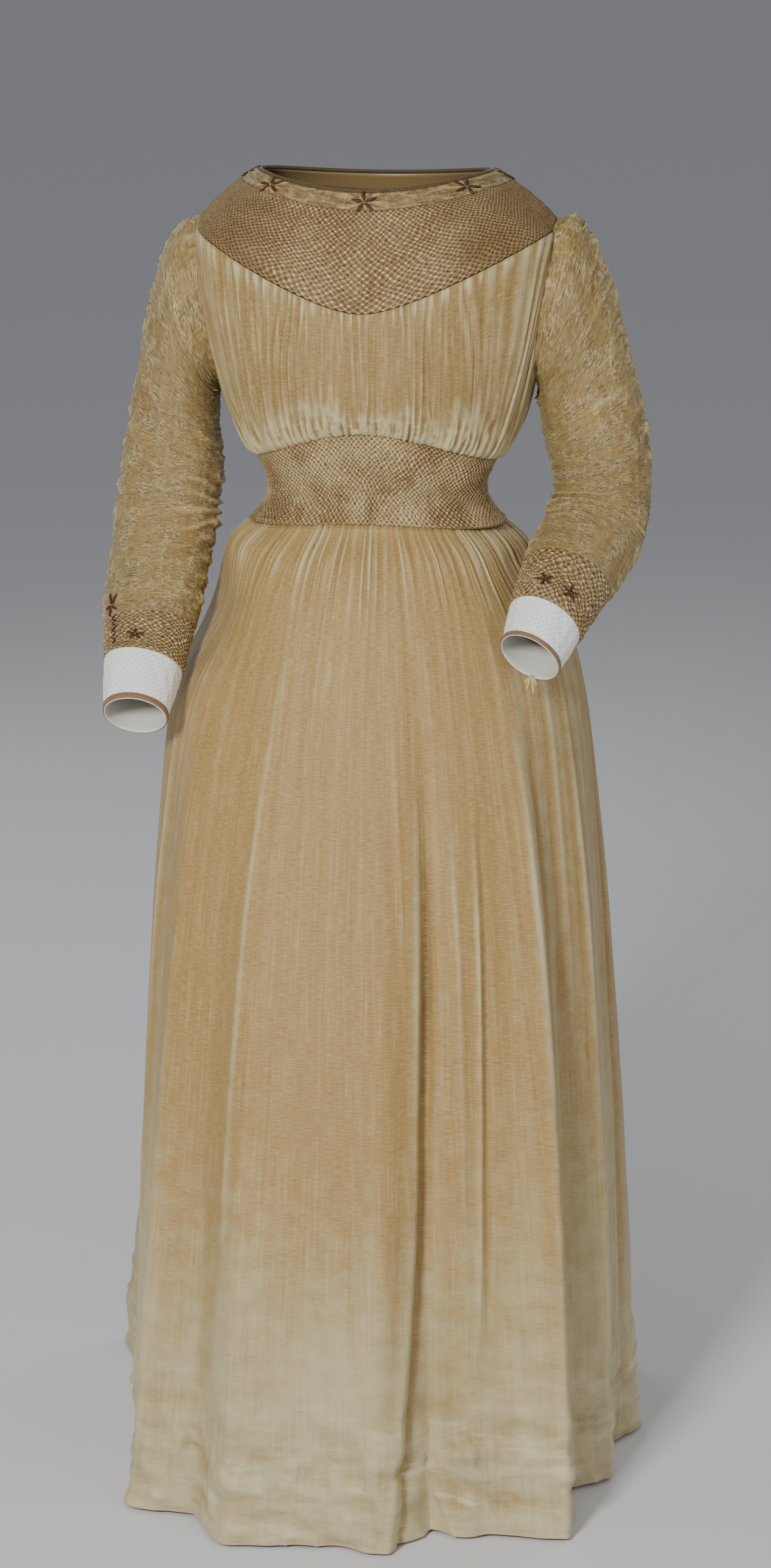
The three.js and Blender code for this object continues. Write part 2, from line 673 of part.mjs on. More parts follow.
function makeArm(label, side, sleeve, wrist, cuff) {
  const wristRings = steps(WRIST_ROWS).slice(1).map((share) => between(sleeve.at(-1), wrist, share));
  const cuffRings = [0.5, 1].map((share) => between(wrist, cuff, share));
  const stations = [armholeStation(), ...sleeve, ...wristRings, ...cuffRings];
  const arm = { side, stations, along: directions(side, stations) };
  const sleeveEnd = sleeve.length;
  const wristEnd = sleeveEnd + WRIST_ROWS;
  const cuffEnd = stations.length - 1;

  const round = wholeRing(SLEEVE_COLUMNS);
  const trimRings = (height) => [TRIM_FROM, TRIM_TO].map((share) => {
    const station = between(wrist, cuff, share);
    return sleeveRing(side, station, arm.along[cuffEnd], round, () => height);
  });
  const trimWall = wall(
    `cuff_trim_${label}`,
    trimRings(SEAM_GAP + TRIM_THICKNESS),
    trimRings(SEAM_GAP),
    true,
    trim,
  );
  const front = halfRing(SLEEVE_COLUMNS, side > 0 ? 0 : Math.PI);
  const back = halfRing(SLEEVE_COLUMNS, side > 0 ? Math.PI : 0);
  const wristRound = wholeRing(WRIST_COLUMNS);
  const cells = smocking(WRIST_ROWS);
  return [
    sleevePiece(`sleeve_${label}_front`, arm, 0, sleeveEnd, front, flat, silk),
    sleevePiece(`sleeve_${label}_back`, arm, 0, sleeveEnd, back, flat, silk),
    sleevePiece(`wrist_smocking_${label}`, arm, sleeveEnd, wristEnd, wristRound, cells, smocked),
    sleevePiece(`cuff_${label}`, arm, wristEnd, cuffEnd, round, flat, pale),
    trimWall,
  ];
}

// ---- The dress ----------------------------------------------------------------------------

const dress = new THREE.Group();
dress.add(
  ...makeNeck(),
  makeYoke(),
  makeBodicePanel('bodice_front', true),
  makeBodicePanel('bodice_back', false),
  makeWaist(),
  makeSkirtPanel('skirt_front', true),
  makeSkirtPanel('skirt_back', false),
  ...makeArm('right', -1, RIGHT_SLEEVE, RIGHT_WRIST, RIGHT_CUFF),
  ...makeArm('left', 1, LEFT_SLEEVE, LEFT_WRIST, LEFT_CUFF),
);

export default dress;
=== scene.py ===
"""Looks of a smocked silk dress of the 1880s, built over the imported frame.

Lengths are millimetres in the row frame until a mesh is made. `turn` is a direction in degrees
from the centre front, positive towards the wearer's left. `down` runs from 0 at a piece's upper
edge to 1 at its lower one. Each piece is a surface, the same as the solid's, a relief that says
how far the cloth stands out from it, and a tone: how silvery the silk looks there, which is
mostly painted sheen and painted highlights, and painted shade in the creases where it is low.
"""

import bpy
import numpy as np
from mathutils import Matrix, Vector


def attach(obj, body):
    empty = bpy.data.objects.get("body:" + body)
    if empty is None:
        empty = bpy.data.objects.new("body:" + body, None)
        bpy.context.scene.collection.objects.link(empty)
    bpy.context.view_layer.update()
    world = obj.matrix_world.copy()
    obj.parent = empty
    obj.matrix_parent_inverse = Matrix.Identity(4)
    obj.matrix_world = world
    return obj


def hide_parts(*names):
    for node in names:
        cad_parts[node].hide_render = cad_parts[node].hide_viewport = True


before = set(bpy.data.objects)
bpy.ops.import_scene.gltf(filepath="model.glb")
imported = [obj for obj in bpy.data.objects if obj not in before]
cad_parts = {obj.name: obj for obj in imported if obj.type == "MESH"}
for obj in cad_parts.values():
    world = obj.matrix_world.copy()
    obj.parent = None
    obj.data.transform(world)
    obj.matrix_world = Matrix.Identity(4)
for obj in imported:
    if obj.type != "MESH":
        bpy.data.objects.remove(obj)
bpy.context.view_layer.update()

# ---- Sizes, as in the solids ---------------------------------------------------------------

WALL, CUFF_WALL = 1.8, 0.8
SEAM_GAP = 0.35
HEM_Z = -1354.0
FULL = 360.0

NECK_HALF_WIDTH, NECK_DEPTH, NECK_CENTRE_Y = 114, 78, -8
NECK_DROP_FRONT, NECK_DROP_BACK = 15, 8
BINDING_HEIGHT, BAND_HEIGHT = 3.6, 20

ARMHOLE_X, ARMHOLE_Y, ARMHOLE_Z = 167, 5, -129.5
ARMHOLE_LEAN, ARMHOLE_HALF_HEIGHT, ARMHOLE_HALF_DEPTH = 11, 79.5, 55

YOKE_POINT_Z, YOKE_POINT_Y = -132, -122
YOKE_BACK_Z, YOKE_BACK_Y = -118, 106
YOKE_EDGE_ANGLE = 28
YOKE_FRONT_SHARE, YOKE_BACK_SHARE = 72, 110
YOKE_FRONT_CURVE, YOKE_BACK_CURVE, YOKE_POINT_ROUND = 1.22, 1.5, 0.16
YOKE_SWELL_SIDE, YOKE_SWELL_FRONT, YOKE_SWELL_UP = 5, 5.4, 6.8

WAIST_POINT_Z, WAIST_SIDE_Z = -253, -288
WAIST_FOOT_FRONT_Z, WAIST_FOOT_Z = -343, -353

HUNG_SHARE, SIDE_SEAM = 0.87, 0.999
CENTRE_CROWDING, SIDE_FAN = 0.69, 47.5
FORWARD_CENTRE, FORWARD_FRONT, FORWARD_BACK = 8, 62, 68
FALL_CENTRE, FALL_SIDE = 40, 20
BLOUSE_OUT, BLOUSE_UP = 26, 18

# z, half the width, depth to the front, depth to the back
FORM = np.array([
    (-250, 134, 104, 98), (-288, 121, 95, 92), (-305, 113, 90, 86), (-321, 110.5, 88, 83),
    (-337, 117, 93, 90), (-352, 130, 101, 101), (-365, 149, 113, 119), (-380, 164, 126, 136),
    (-420, 185, 147, 162), (-480, 203, 167, 187), (-543, 216, 184, 209), (-650, 228, 208, 240),
    (-771, 239, 229, 266), (-1042, 256, 260, 302), (HEM_Z, 268, 290, 334),
], float)

# the skirt's folds: turn at the top and at the hem, half the breadth, how far out at the hem, and
# the height where it starts
FOLDS = [
    (-50, -46, 9, 32, -400), (-37, -34, 5, -9, -640), (-26, -21, 8, 30, -430),
    (9, 9, 6, 14, -500), (21, 20, 6, -34, -400), (35, 31, 4, -4, -560), (51, 44.5, 7, 46, -400),
    (60, 60, 6, -22, -440), (72, 71, 5, 7, -470), (84, 86, 6, -16, -480),
    (101, 104, 8, 12, -430), (118, 119, 6, -14, -480), (134, 135, 9, 38, -430),
    (151, 152, 7, -20, -460), (167, 168, 8, 26, -420), (-178, -176, 6, -16, -470),
    (-163, -161, 9, 30, -420), (-146, -144, 6, -22, -480), (-122, -124, 11, 92, -420),
    (-104, -102, 7, -16, -480), (-86, -86, 9, -20, -440), (-72, -71, 5, -5, -520),
    (-62, -59, 5, -16, -520),
]

# where the forearms press the skirt in: turn, z, width, height, depth
ARM_DENTS = [(-76, -436, 26, 60, 32), (76, -395, 26, 50, 20)]

# outer edge x y z, inner edge x y z, half depth; x is outwards
RIGHT_SLEEVE = [
    (197, 5, -60, 163, 5, -213, 56), (211, 5, -80, 167, 6, -221, 55),
    (224, 6, -112, 167, 8, -230, 53), (236, 8, -156, 166, 8, -244, 51),
    (246, 10, -208, 165, 8, -264, 49), (255, 10, -262, 163, 8, -292, 47),
    (264, 7, -315, 164, 7, -324, 45), (269, -2, -362, 168, -1, -357, 43),
    (271, -20, -402, 172, -20, -396, 41), (271, -44, -436, 176, -44, -432, 38),
    (270, -64, -460, 180, -64, -458, 36),
]
LEFT_SLEEVE = [
    (198, 5, -48, 162, 5, -213, 56), (211, 5, -63, 164, 6, -221, 56),
    (226, 7, -98, 164, 8, -231, 54), (243, 9, -148, 166, 9, -248, 52),
    (259, 12, -204, 170, 11, -268, 49), (271, 14, -266, 177, 13, -295, 47),
    (275, 11, -322, 180, 11, -320, 45), (271, -3, -365, 176, -5, -342, 43),
    (259, -27, -393, 169, -32, -358, 41), (240, -65, -418, 159, -68, -377, 39),
]
RIGHT_WRIST = (266, -94, -489, 186, -93, -500, 34)
LEFT_WRIST = (214, -112, -454, 151, -116, -412, 35)
RIGHT_CUFF = (257, -140, -533, 194, -140, -536, 29)
LEFT_CUFF = (196, -145, -480, 145, -148, -444, 30)
WRIST_STATIONS, CUFF_STATIONS = (0.25, 0.5, 0.75, 1), (0.5, 1)
STATION_GAP = 0.012
TRIM_FROM, TRIM_TO = 0.86, 0.985

# ---- Numbers and shapes --------------------------------------------------------------------


def mix(a, b, share):
    return a + (b - a) * share


def soften(x):
    x = np.clip(x, 0, 1)
    return x * x * (3 - 2 * x)


def sine(turn):
    return np.sin(np.radians(turn))


def cosine(turn):
    return np.cos(np.radians(turn))


def wrap(turn):
    """A turn from -180 to 180."""
    return (np.asarray(turn, float) + 180) % FULL - 180


def stack(x, y, z):
    return np.stack(np.broadcast_arrays(x, y, z), -1).astype(float)


def unit(v):
    return v / np.maximum(np.linalg.norm(v, axis=-1, keepdims=True), 1e-9)


NOISE_SIZE = 512


def noise(u, v, seed, period=NOISE_SIZE):
    """Smooth random heights from -1 to 1, one a unit each way. `period` closes it round u."""
    table = np.random.RandomState(seed).uniform(-1, 1, (NOISE_SIZE, NOISE_SIZE))
    i, j = np.floor(u).astype(int), np.floor(v).astype(int)
    left, right = i % period, (i + 1) % period
    upper, lower = j % NOISE_SIZE, (j + 1) % NOISE_SIZE
    s, t = soften(u - i), soften(v - j)
    return mix(mix(table[left, upper], table[right, upper], s),
               mix(table[left, lower], table[right, lower], s), t)


def crests(u, v, seed, period=NOISE_SIZE):
    """Smooth random heights from -0.5 to 0.5, with sharp crests."""
    return 0.5 - np.abs(noise(u, v, seed, period))


def bell(x):
    return np.exp(-(x * x))


def fade_ends(down, margin):
    return soften(down / margin) * soften((1 - down) / margin)


def neighbours(grid, before, after, axis, closed):
    """A grid with more points before and after it, repeated at an edge or taken from across it."""
    margin = [(0, 0), (0, 0)]
    margin[axis] = (before, after)
    return np.pad(grid, margin, mode="wrap" if closed and axis else "edge")


def blurred(grid, reach, closed):
    """A grid of heights averaged over `reach` points each way."""
    width = 2 * reach + 1
    for axis in (0, 1):
        total = np.cumsum(neighbours(grid, reach + 1, reach, axis, closed), axis)
        upper, lower = np.split(total, [width], axis)[1], np.split(total, [-width], axis)[0]
        grid = (upper - lower) / width
    return grid


def lowest(grid, reach, closed):
    """The lowest height within `reach` points of each point of a grid."""
    for axis in (0, 1):
        padded = neighbours(grid, reach, reach, axis, closed)
        count = grid.shape[axis]
        grid = np.minimum.reduce([padded.take(range(i, i + count), axis)
                                  for i in range(2 * reach + 1)])
    return grid


def form_at(column, z):
    """A column of FORM at heights z, on a smooth curve through its rows."""
    last = len(FORM) - 1
    row = np.clip(np.searchsorted(-FORM[:, 0], -z, side="right") - 1, 0, last - 1)

    def slope(index):
        above, below = FORM[np.maximum(0, index - 1)], FORM[np.minimum(last, index + 1)]
        return (below[..., column] - above[..., column]) / (below[..., 0] - above[..., 0])

    span = FORM[row + 1, 0] - FORM[row, 0]
    share = np.clip((z - FORM[row, 0]) / span, 0, 1)
    leave = share * (1 - share) ** 2 * span * slope(row)
    arrive = share * share * (share - 1) * span * slope(row + 1)
    return mix(FORM[row, column], FORM[row + 1, column], soften(share)) + leave + arrive


# ---- The forms of the solids ---------------------------------------------------------------


def neck_edge(turn):
    front = cosine(turn)
    drop = mix(NECK_DROP_BACK, NECK_DROP_FRONT, (front + 1) / 2) * front ** 2
    return stack(NECK_HALF_WIDTH * sine(turn), NECK_CENTRE_Y - NECK_DEPTH * front, -drop)


def armhole(side, angle):
    """The armhole's edge, by degrees from its top towards the front."""
    up, forward = cosine(angle), sine(angle)
    return stack(side * (ARMHOLE_X + ARMHOLE_LEAN * up), ARMHOLE_Y - ARMHOLE_HALF_DEPTH * forward,
                 ARMHOLE_Z + ARMHOLE_HALF_HEIGHT * up)


def yoke_arc(side, front, spread):
    """The yoke's lower edge, from the centre at a spread of 0 to the armhole at 90."""
    corner = armhole(side, YOKE_EDGE_ANGLE if front else -YOKE_EDGE_ANGLE)
    outward = np.clip(sine(spread), 0, 1)
    centre_y, centre_z = (YOKE_POINT_Y, YOKE_POINT_Z) if front else (YOKE_BACK_Y, YOKE_BACK_Z)
    curve = YOKE_FRONT_CURVE if front else YOKE_BACK_CURVE
    tip, end = YOKE_POINT_ROUND ** curve, np.hypot(1, YOKE_POINT_ROUND) ** curve
    rise = (np.hypot(outward, YOKE_POINT_ROUND) ** curve - tip) / (end - tip)
    return stack(corner[..., 0] * outward, mix(corner[..., 1], centre_y, cosine(spread)),
                 mix(centre_z, corner[..., 2], rise))


def yoke_edge(turn):
    side = np.where(turn < 0, -1.0, 1.0)
    away = np.abs(turn)
    front = yoke_arc(side, True, np.clip(90 * away / YOKE_FRONT_SHARE, 0, 90))
    back = yoke_arc(side, False, np.clip(90 * (180 - away) / (180 - YOKE_BACK_SHARE), 0, 90))
    share = np.clip((away - YOKE_FRONT_SHARE) / (YOKE_BACK_SHARE - YOKE_FRONT_SHARE), 0, 1)
    top = armhole(side, mix(YOKE_EDGE_ANGLE, -YOKE_EDGE_ANGLE, share))
    is_front, is_back = (away <= YOKE_FRONT_SHARE)[..., None], (away >= YOKE_BACK_SHARE)[..., None]
    return np.where(is_front, front, np.where(is_back, back, top))


def yoke_surface(turn, down):
    turn = wrap(turn)
    neck, edge = neck_edge(turn), yoke_edge(turn)
    swell = stack(YOKE_SWELL_SIDE * sine(turn), -YOKE_SWELL_FRONT * cosine(turn), YOKE_SWELL_UP)
    middle = (neck + edge) / 2 + swell
    down = down[..., None]
    return neck * (1 - down) ** 2 + middle * 2 * down * (1 - down) + edge * down ** 2


def yoke_length(turn):
    return np.linalg.norm(neck_edge(wrap(turn)) - yoke_edge(wrap(turn)), axis=-1)


def yoke_stretch(start, end):
    """The same surface between two distances from the neck edge. An `end` of 0 is the edge."""
    def surface(turn, down):
        length = yoke_length(turn)
        last = 1 - SEAM_GAP / length if end == 0 else end / length
        return yoke_surface(turn, mix(start / length, last, down))
    return surface


def form_radius(turn, z):
    side, front = form_at(1, z), cosine(turn)
    deep = np.where(front > 0, form_at(2, z), form_at(3, z))
    return side * deep / np.hypot(deep * sine(turn), side * front)


def waist_top(turn):
    return mix(WAIST_SIDE_Z, WAIST_POINT_Z, np.maximum(0, cosine(turn)) ** 2)


def waist_foot(turn):
    return mix(WAIST_FOOT_Z, WAIST_FOOT_FRONT_Z, np.maximum(0, cosine(turn)) ** 2)


def around(turn, radius, z):
    return stack(radius * sine(turn), -radius * cosine(turn), z)


def waist_surface(turn, down):
    z = mix(waist_top(turn), waist_foot(turn), down)
    return around(turn, form_radius(turn, z), z)


def bodice_start(across):
    """Where a bodice panel hangs from: its spread along the yoke, and its share of the armhole."""
    away = np.abs(across)
    even = np.degrees(np.arcsin(CENTRE_CROWDING * sine(90 * np.minimum(away, HUNG_SHARE))))
    spread = np.minimum(90, even + SIDE_FAN * (np.minimum(away, HUNG_SHARE) / HUNG_SHARE) ** 6)
    hole = np.clip((away - HUNG_SHARE) / (1 - HUNG_SHARE), 0, 1)
    return np.where(away <= HUNG_SHARE, spread, 90), hole


def bodice_surface(front):
    facing = -1 if front else 1

    def surface(across, down):
        side = np.where(across < 0, -1.0, 1.0)
        away = np.abs(across)
        spread, hole = bodice_start(across)
        angle = mix(YOKE_EDGE_ANGLE, 180, hole) * (1 if front else -1)
        start = np.where((hole > 0)[..., None], armhole(side, angle), yoke_arc(side, front, spread))
        turn = 90 * across if front else 180 - 90 * across
        waist = waist_surface(turn, np.zeros_like(turn))
        waist[..., 2] += 2 * SEAM_GAP
        outward = stack(sine(turn), -cosine(turn), 0)
        reach = FORWARD_FRONT if front else FORWARD_BACK
        hung = mix(FORWARD_CENTRE, reach, (np.minimum(away, HUNG_SHARE) / HUNG_SHARE) ** 10)
        forward = np.where(hole > 0, reach * (1 - hole) ** 4, hung)
        leave = start + stack(0, facing * forward, -mix(FALL_CENTRE, FALL_SIDE, hole))
        arrive = waist + outward * BLOUSE_OUT + np.array([0, 0, BLOUSE_UP])
        d = down[..., None]
        return (start * (1 - d) ** 3 + leave * 3 * d * (1 - d) ** 2
                + arrive * 3 * d ** 2 * (1 - d) + waist * d ** 3)
    return surface


def fold_at(turn, z):
    """How far the skirt's long folds stand out."""
    out = np.zeros(np.broadcast(turn, z).shape)
    for top, hem, width, reach, start in FOLDS:
        grown = np.clip((start - z) / (start - HEM_Z), 0, 1)
        away = np.abs(wrap(turn - mix(top, hem, grown))) / width
        out += reach * 1.75 * soften(0.5 * grown + 0.1 * soften(4 * grown)) * np.exp(-away ** 1.7)
    return out


def arm_dent(turn, z):
    return sum(depth * bell(wrap(turn - at) / width) * bell((z - height) / tall)
               for at, height, width, tall, depth in ARM_DENTS)


def skirt_top(turn):
    return waist_foot(turn) - SEAM_GAP


def skirt_radius(turn, z):
    return form_radius(turn, z) + fold_at(turn, z) - arm_dent(turn, z)


def skirt_surface(turn, down):
    z = mix(skirt_top(turn), HEM_Z, down)
    return around(turn, skirt_radius(turn, z), z)


# ---- Cloth meshes --------------------------------------------------------------------------


def normals(points, closed):
    """Outward normals of a grid of points, and the sign that turned them outwards."""
    if closed:
        along = np.roll(points, -1, 1) - np.roll(points, 1, 1)
    else:
        along = np.gradient(points, axis=1)
    fall = np.gradient(points, axis=0)
    found = unit(np.cross(fall, along))
    outside = points - points.mean(1, keepdims=True)
    sign = 1.0 if (found * outside).sum(-1).mean() > 0 else -1.0
    return found * sign, sign


def quads(first, rows, columns, closed, flip):
    """Faces over a grid of vertices that starts at number `first`."""
    index = np.arange(rows * columns).reshape(rows, columns) + first
    if closed:
        index = np.concatenate([index, index[:, :1]], 1)
    a, b, c, d = index[:-1, :-1], index[1:, :-1], index[1:, 1:], index[:-1, 1:]
    order = (a, d, c, b) if flip else (a, b, c, d)
    return np.stack(order, -1).reshape(-1, 4)


def rim(upper, lower, closed):
    """Faces between two rows of vertex numbers of different length."""
    faces = []
    n, m = (len(upper), len(lower)) if closed else (len(upper) - 1, len(lower) - 1)
    i = j = 0
    while i < n or j < m:
        here, under = upper[i % len(upper)], lower[j % len(lower)]
        if j >= m or (i < n and (i + 1) * m <= (j + 1) * n):
            i += 1
            faces.append((here, under, upper[i % len(upper)]))
        else:
            j += 1
            faces.append((here, under, lower[j % len(lower)]))
    return faces


def add_piece(name, mesh, material):
    """Links a smooth mesh in one material, as a piece that rides on the dress."""
    mesh.polygons.foreach_set("use_smooth", [True] * len(mesh.polygons))
    mesh.materials.append(material)
    piece = bpy.data.objects.new(name, mesh)
    bpy.context.scene.collection.objects.link(piece)
    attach(piece, "root")
    return piece


def shell(name, outer, inner, closed, flip, cells, tone, material):
    """A thin cloth piece from an outer and an inner grid of points.

    `cells` are the texture places of the outer grid, with one more column where it is closed,
    and `tone` is each outer point's share of the silvery colour, which the materials read for
    painted sheen, highlights and shade, or for darker smocking.
    """
    rows, columns = outer.shape[:2]
    low_rows, low_columns = inner.shape[:2]
    start = rows * columns
    skin = quads(0, rows, columns, closed, flip)
    lining = quads(start, low_rows, low_columns, closed, not flip)
    outside = np.arange(start).reshape(rows, columns)
    inside = start + np.arange(low_rows * low_columns).reshape(low_rows, low_columns)
    edges = rim(inside[0], outside[0], closed) + rim(outside[-1], inside[-1], closed)
    if not closed:
        edges += rim(outside[:, 0], inside[:, 0], False)
        edges += rim(inside[:, -1], outside[:, -1], False)
    if flip:
        edges = [face[::-1] for face in edges]
    points = np.concatenate([outer.reshape(-1, 3), inner.reshape(-1, 3)]) / 1000
    mesh = bpy.data.meshes.new(name)
    faces = [skin, lining, np.array(edges)]
    mesh.from_pydata(points, [], [tuple(face) for part in faces for face in part.tolist()])

    layer = mesh.uv_layers.new(name="cells")
    places = np.zeros((len(mesh.loops), 2))
    a, b = cells[:-1, :-1], cells[1:, :-1]
    c, d = cells[1:, 1:], cells[:-1, 1:]
    order = (a, d, c, b) if flip else (a, b, c, d)
    places[:len(skin) * 4] = np.stack(order, -2).reshape(-1, 2)
    layer.data.foreach_set("uv", places.astype(np.float32).ravel())
    shade = mesh.attributes.new("tone", "FLOAT", "POINT")
    values = np.zeros(len(points))
    values[:start] = np.broadcast_to(tone, (rows, columns)).ravel()
    shade.data.foreach_set("value", values.astype(np.float32))
    return add_piece(name, mesh, material)


DETAIL_REACH = 9


def sew(node, surface, across, downs, inner_step, closed, relief, cells, material,
        tone=None, under=0.0, stands_for=None):
    """Makes one piece of the dress over its node and hides the solids it stands for.

    `across` and `downs` are the grid's places on the surface, and `inner_step` is how many of its
    columns and rows the inside skips. `relief` gives the height over the surface in millimetres,
    `cells` the places of the texture and `tone` the tone, which the materials paint as sheen,
    highlights and shade. `under` makes the wall thicker.
    """
    grid_across, grid_down = np.meshgrid(across, downs)
    base = surface(grid_across, grid_down)
    normal, sign = normals(base, closed)
    lift = relief(grid_across, grid_down, base)
    outer = base + normal * lift[..., None]
    column_step, row_step = inner_step
    sunk = lowest(np.minimum(lift, 0), max(column_step, row_step), closed)
    keep_rows = np.unique(np.append(np.arange(0, len(downs), row_step), len(downs) - 1))
    keep_columns = np.arange(0, len(across), column_step)
    if not closed:
        keep_columns = np.unique(np.append(keep_columns, len(across) - 1))
    inner = (base + normal * (sunk - WALL - under)[..., None])[keep_rows][:, keep_columns]
    # The relief's fine crests and hollows, which the tones turn into painted highlights and painted
    # shade.
    detail = lift - blurred(lift, DETAIL_REACH, closed)
    shade = 0 if tone is None else tone(grid_across, grid_down, base, detail)
    if closed:
        grid_across = np.concatenate([grid_across, grid_across[:, :1] + FULL], 1)
        grid_down = np.concatenate([grid_down, grid_down[:, :1]], 1)
        base = np.concatenate([base, base[:, :1]], 1)
    places = np.stack(cells(grid_across, grid_down, base), -1)
    piece = shell(f"{node}_cloth", outer, inner, closed, sign < 0, places, shade, material)
    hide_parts(*(stands_for or [node]))


# ---- Arms ----------------------------------------------------------------------------------


def arm_table(side, sleeve, wrist, cuff):
    """Stations from the armhole to the cuff's end: outer edge, inner edge and half depth."""
    apart = 1.4 * SEAM_GAP
    hole = (ARMHOLE_X + ARMHOLE_LEAN + apart, ARMHOLE_Y, ARMHOLE_Z + ARMHOLE_HALF_HEIGHT,
            ARMHOLE_X - ARMHOLE_LEAN + apart, ARMHOLE_Y, ARMHOLE_Z - ARMHOLE_HALF_HEIGHT,
            ARMHOLE_HALF_DEPTH)
    rows = [hole, *sleeve]
    sleeve_last, wrist, cuff = np.array([sleeve[-1], wrist, cuff], float)
    rows += [mix(sleeve_last, wrist, share) for share in WRIST_STATIONS]
    rows += [mix(wrist, cuff, share) for share in CUFF_STATIONS]
    table = np.array(rows, float)
    table[:, [0, 3]] *= side
    return table


def smooth_rows(table, place):
    """Rows of a table at fractional places, on a smooth curve through them."""
    last = len(table) - 1
    i = np.clip(np.floor(place).astype(int), 0, last - 1)
    t = (place - i)[..., None]
    before, here = table[np.maximum(0, i - 1)], table[i]
    after, beyond = table[i + 1], table[np.minimum(last, i + 2)]
    curve = (2 * here + (after - before) * t + (2 * before - 5 * here + 4 * after - beyond) * t ** 2
             + (3 * here - before - 3 * after + beyond) * t ** 3)
    return curve / 2


def arm_surface(table, first, last):
    """`across` goes round from the outer edge, and `down` from station first to station last."""
    middles = (table[:, 0:3] + table[:, 3:6]) / 2
    ahead = unit(np.vstack([middles[1:], middles[-1:]]) - np.vstack([middles[:1], middles[:-1]]))

    def surface(across, down):
        place = mix(first, last, down)
        row = smooth_rows(table, place)
        along = unit(smooth_rows(ahead, place))
        outer, inner, deep = row[..., 0:3], row[..., 3:6], row[..., 6:7]
        middle = (outer + inner) / 2
        to_outer = outer - middle
        to_deep = unit(np.cross(along, unit(to_outer)))
        return (middle + to_outer * cosine(across)[..., None]
                + deep * to_deep * sine(across)[..., None])
    return surface


# ---- Materials -----------------------------------------------------------------------------


def colour(red, green, blue):
    """A colour given as it looks, from 0 to 255, in the shader's linear numbers."""
    share = np.array([red, green, blue]) / 255
    linear = np.where(share <= 0.04045, share / 12.92, ((share + 0.055) / 1.055) ** 2.4)
    return (*linear.tolist(), 1.0)


class Nodes:
    """Short ways to make and join shader nodes."""

    def __init__(self, name, roughness, sheen, tint):
        self.material = bpy.data.materials.new(name)
        self.material.use_nodes = True
        self.tree = self.material.node_tree
        self.shader = self.tree.nodes["Principled BSDF"]
        for socket, value in (("Roughness", roughness), ("Sheen Weight", sheen),
                              ("Sheen Roughness", 0.4), ("Sheen Tint", tint),
                              ("Specular IOR Level", 0.3)):
            self.shader.inputs[socket].default_value = value
        self.cells = self.new("ShaderNodeUVMap", uv_map="cells").outputs[0]

    def new(self, kind, inputs=(), **settings):
        node = self.tree.nodes.new(kind)
        for key, value in settings.items():
            setattr(node, key, value)
        for key, value in dict(inputs).items():
            self.set(node.inputs[key], value)
        return node

    def set(self, socket, value):
        if isinstance(value, bpy.types.NodeSocket):
            self.tree.links.new(value, socket)
        else:
            socket.default_value = value

    def maths(self, operation, *values):
        node = self.new("ShaderNodeMath", operation=operation)
        for socket, value in zip(node.inputs, values):
            self.set(socket, value)
        return node.outputs[0]

    def ramp(self, value, low, high, to_low=0.0, to_high=1.0):
        """A smooth step from to_low, where value is at low, to to_high."""
        return self.new("ShaderNodeMapRange", {
            "Value": value, "From Min": low, "From Max": high, "To Min": to_low, "To Max": to_high,
        }, interpolation_type="SMOOTHSTEP").outputs[0]

    def times(self, first, second):
        return self.maths("MULTIPLY", first, second)

    def wave(self, value):
        return self.maths("COSINE", value)

    def parts(self):
        """The cloth's own places, across and down it."""
        return self.new("ShaderNodeSeparateXYZ", {0: self.cells}).outputs[:2]

    def blend(self, share, first, second):
        node = self.new("ShaderNodeMix", data_type="RGBA", blend_type="MIX")
        self.set(node.inputs["Factor"], share)
        self.set(node.inputs[6], first)
        self.set(node.inputs[7], second)
        return node.outputs[2]

    def noise(self, scale, detail=2.0, stretch=(1, 1), roughness=0.5):
        """Noise over the cloth's own places, `scale` to a unit."""
        mapping = self.new("ShaderNodeMapping", {
            "Vector": self.cells, "Scale": (scale * stretch[0], scale * stretch[1], 1)})
        return self.new("ShaderNodeTexNoise", {
            "Vector": mapping.outputs[0], "Scale": 1.0, "Detail": detail, "Roughness": roughness,
        }).outputs["Fac"]

    def attribute(self, name):
        return self.new("ShaderNodeAttribute", attribute_name=name).outputs["Fac"]

    def bump(self, height, distance, strength=1.0, over=None):
        node = self.new("ShaderNodeBump", {
            "Height": height, "Distance": distance, "Strength": strength})
        if over is not None:
            self.set(node.inputs["Normal"], over)
        return node.outputs[0]

    def finish(self, base, normal):
        self.set(self.shader.inputs["Base Color"], base)
        self.set(self.shader.inputs["Normal"], normal)
        return self.material


SHOT_SHEEN = colour(190, 204, 150)
TAN, SILVER = colour(166, 132, 77), colour(196, 184, 144)
# DEEP is the dark of the silk's slubs and fine lines, and also its painted shade in creases and
# crumples.
GOLD, DEEP = colour(138, 109, 58), colour(92, 68, 34)
SILK_SHEEN = 0.12
HEM_FADE_FROM, HEM_FADE_TO = 190, 60


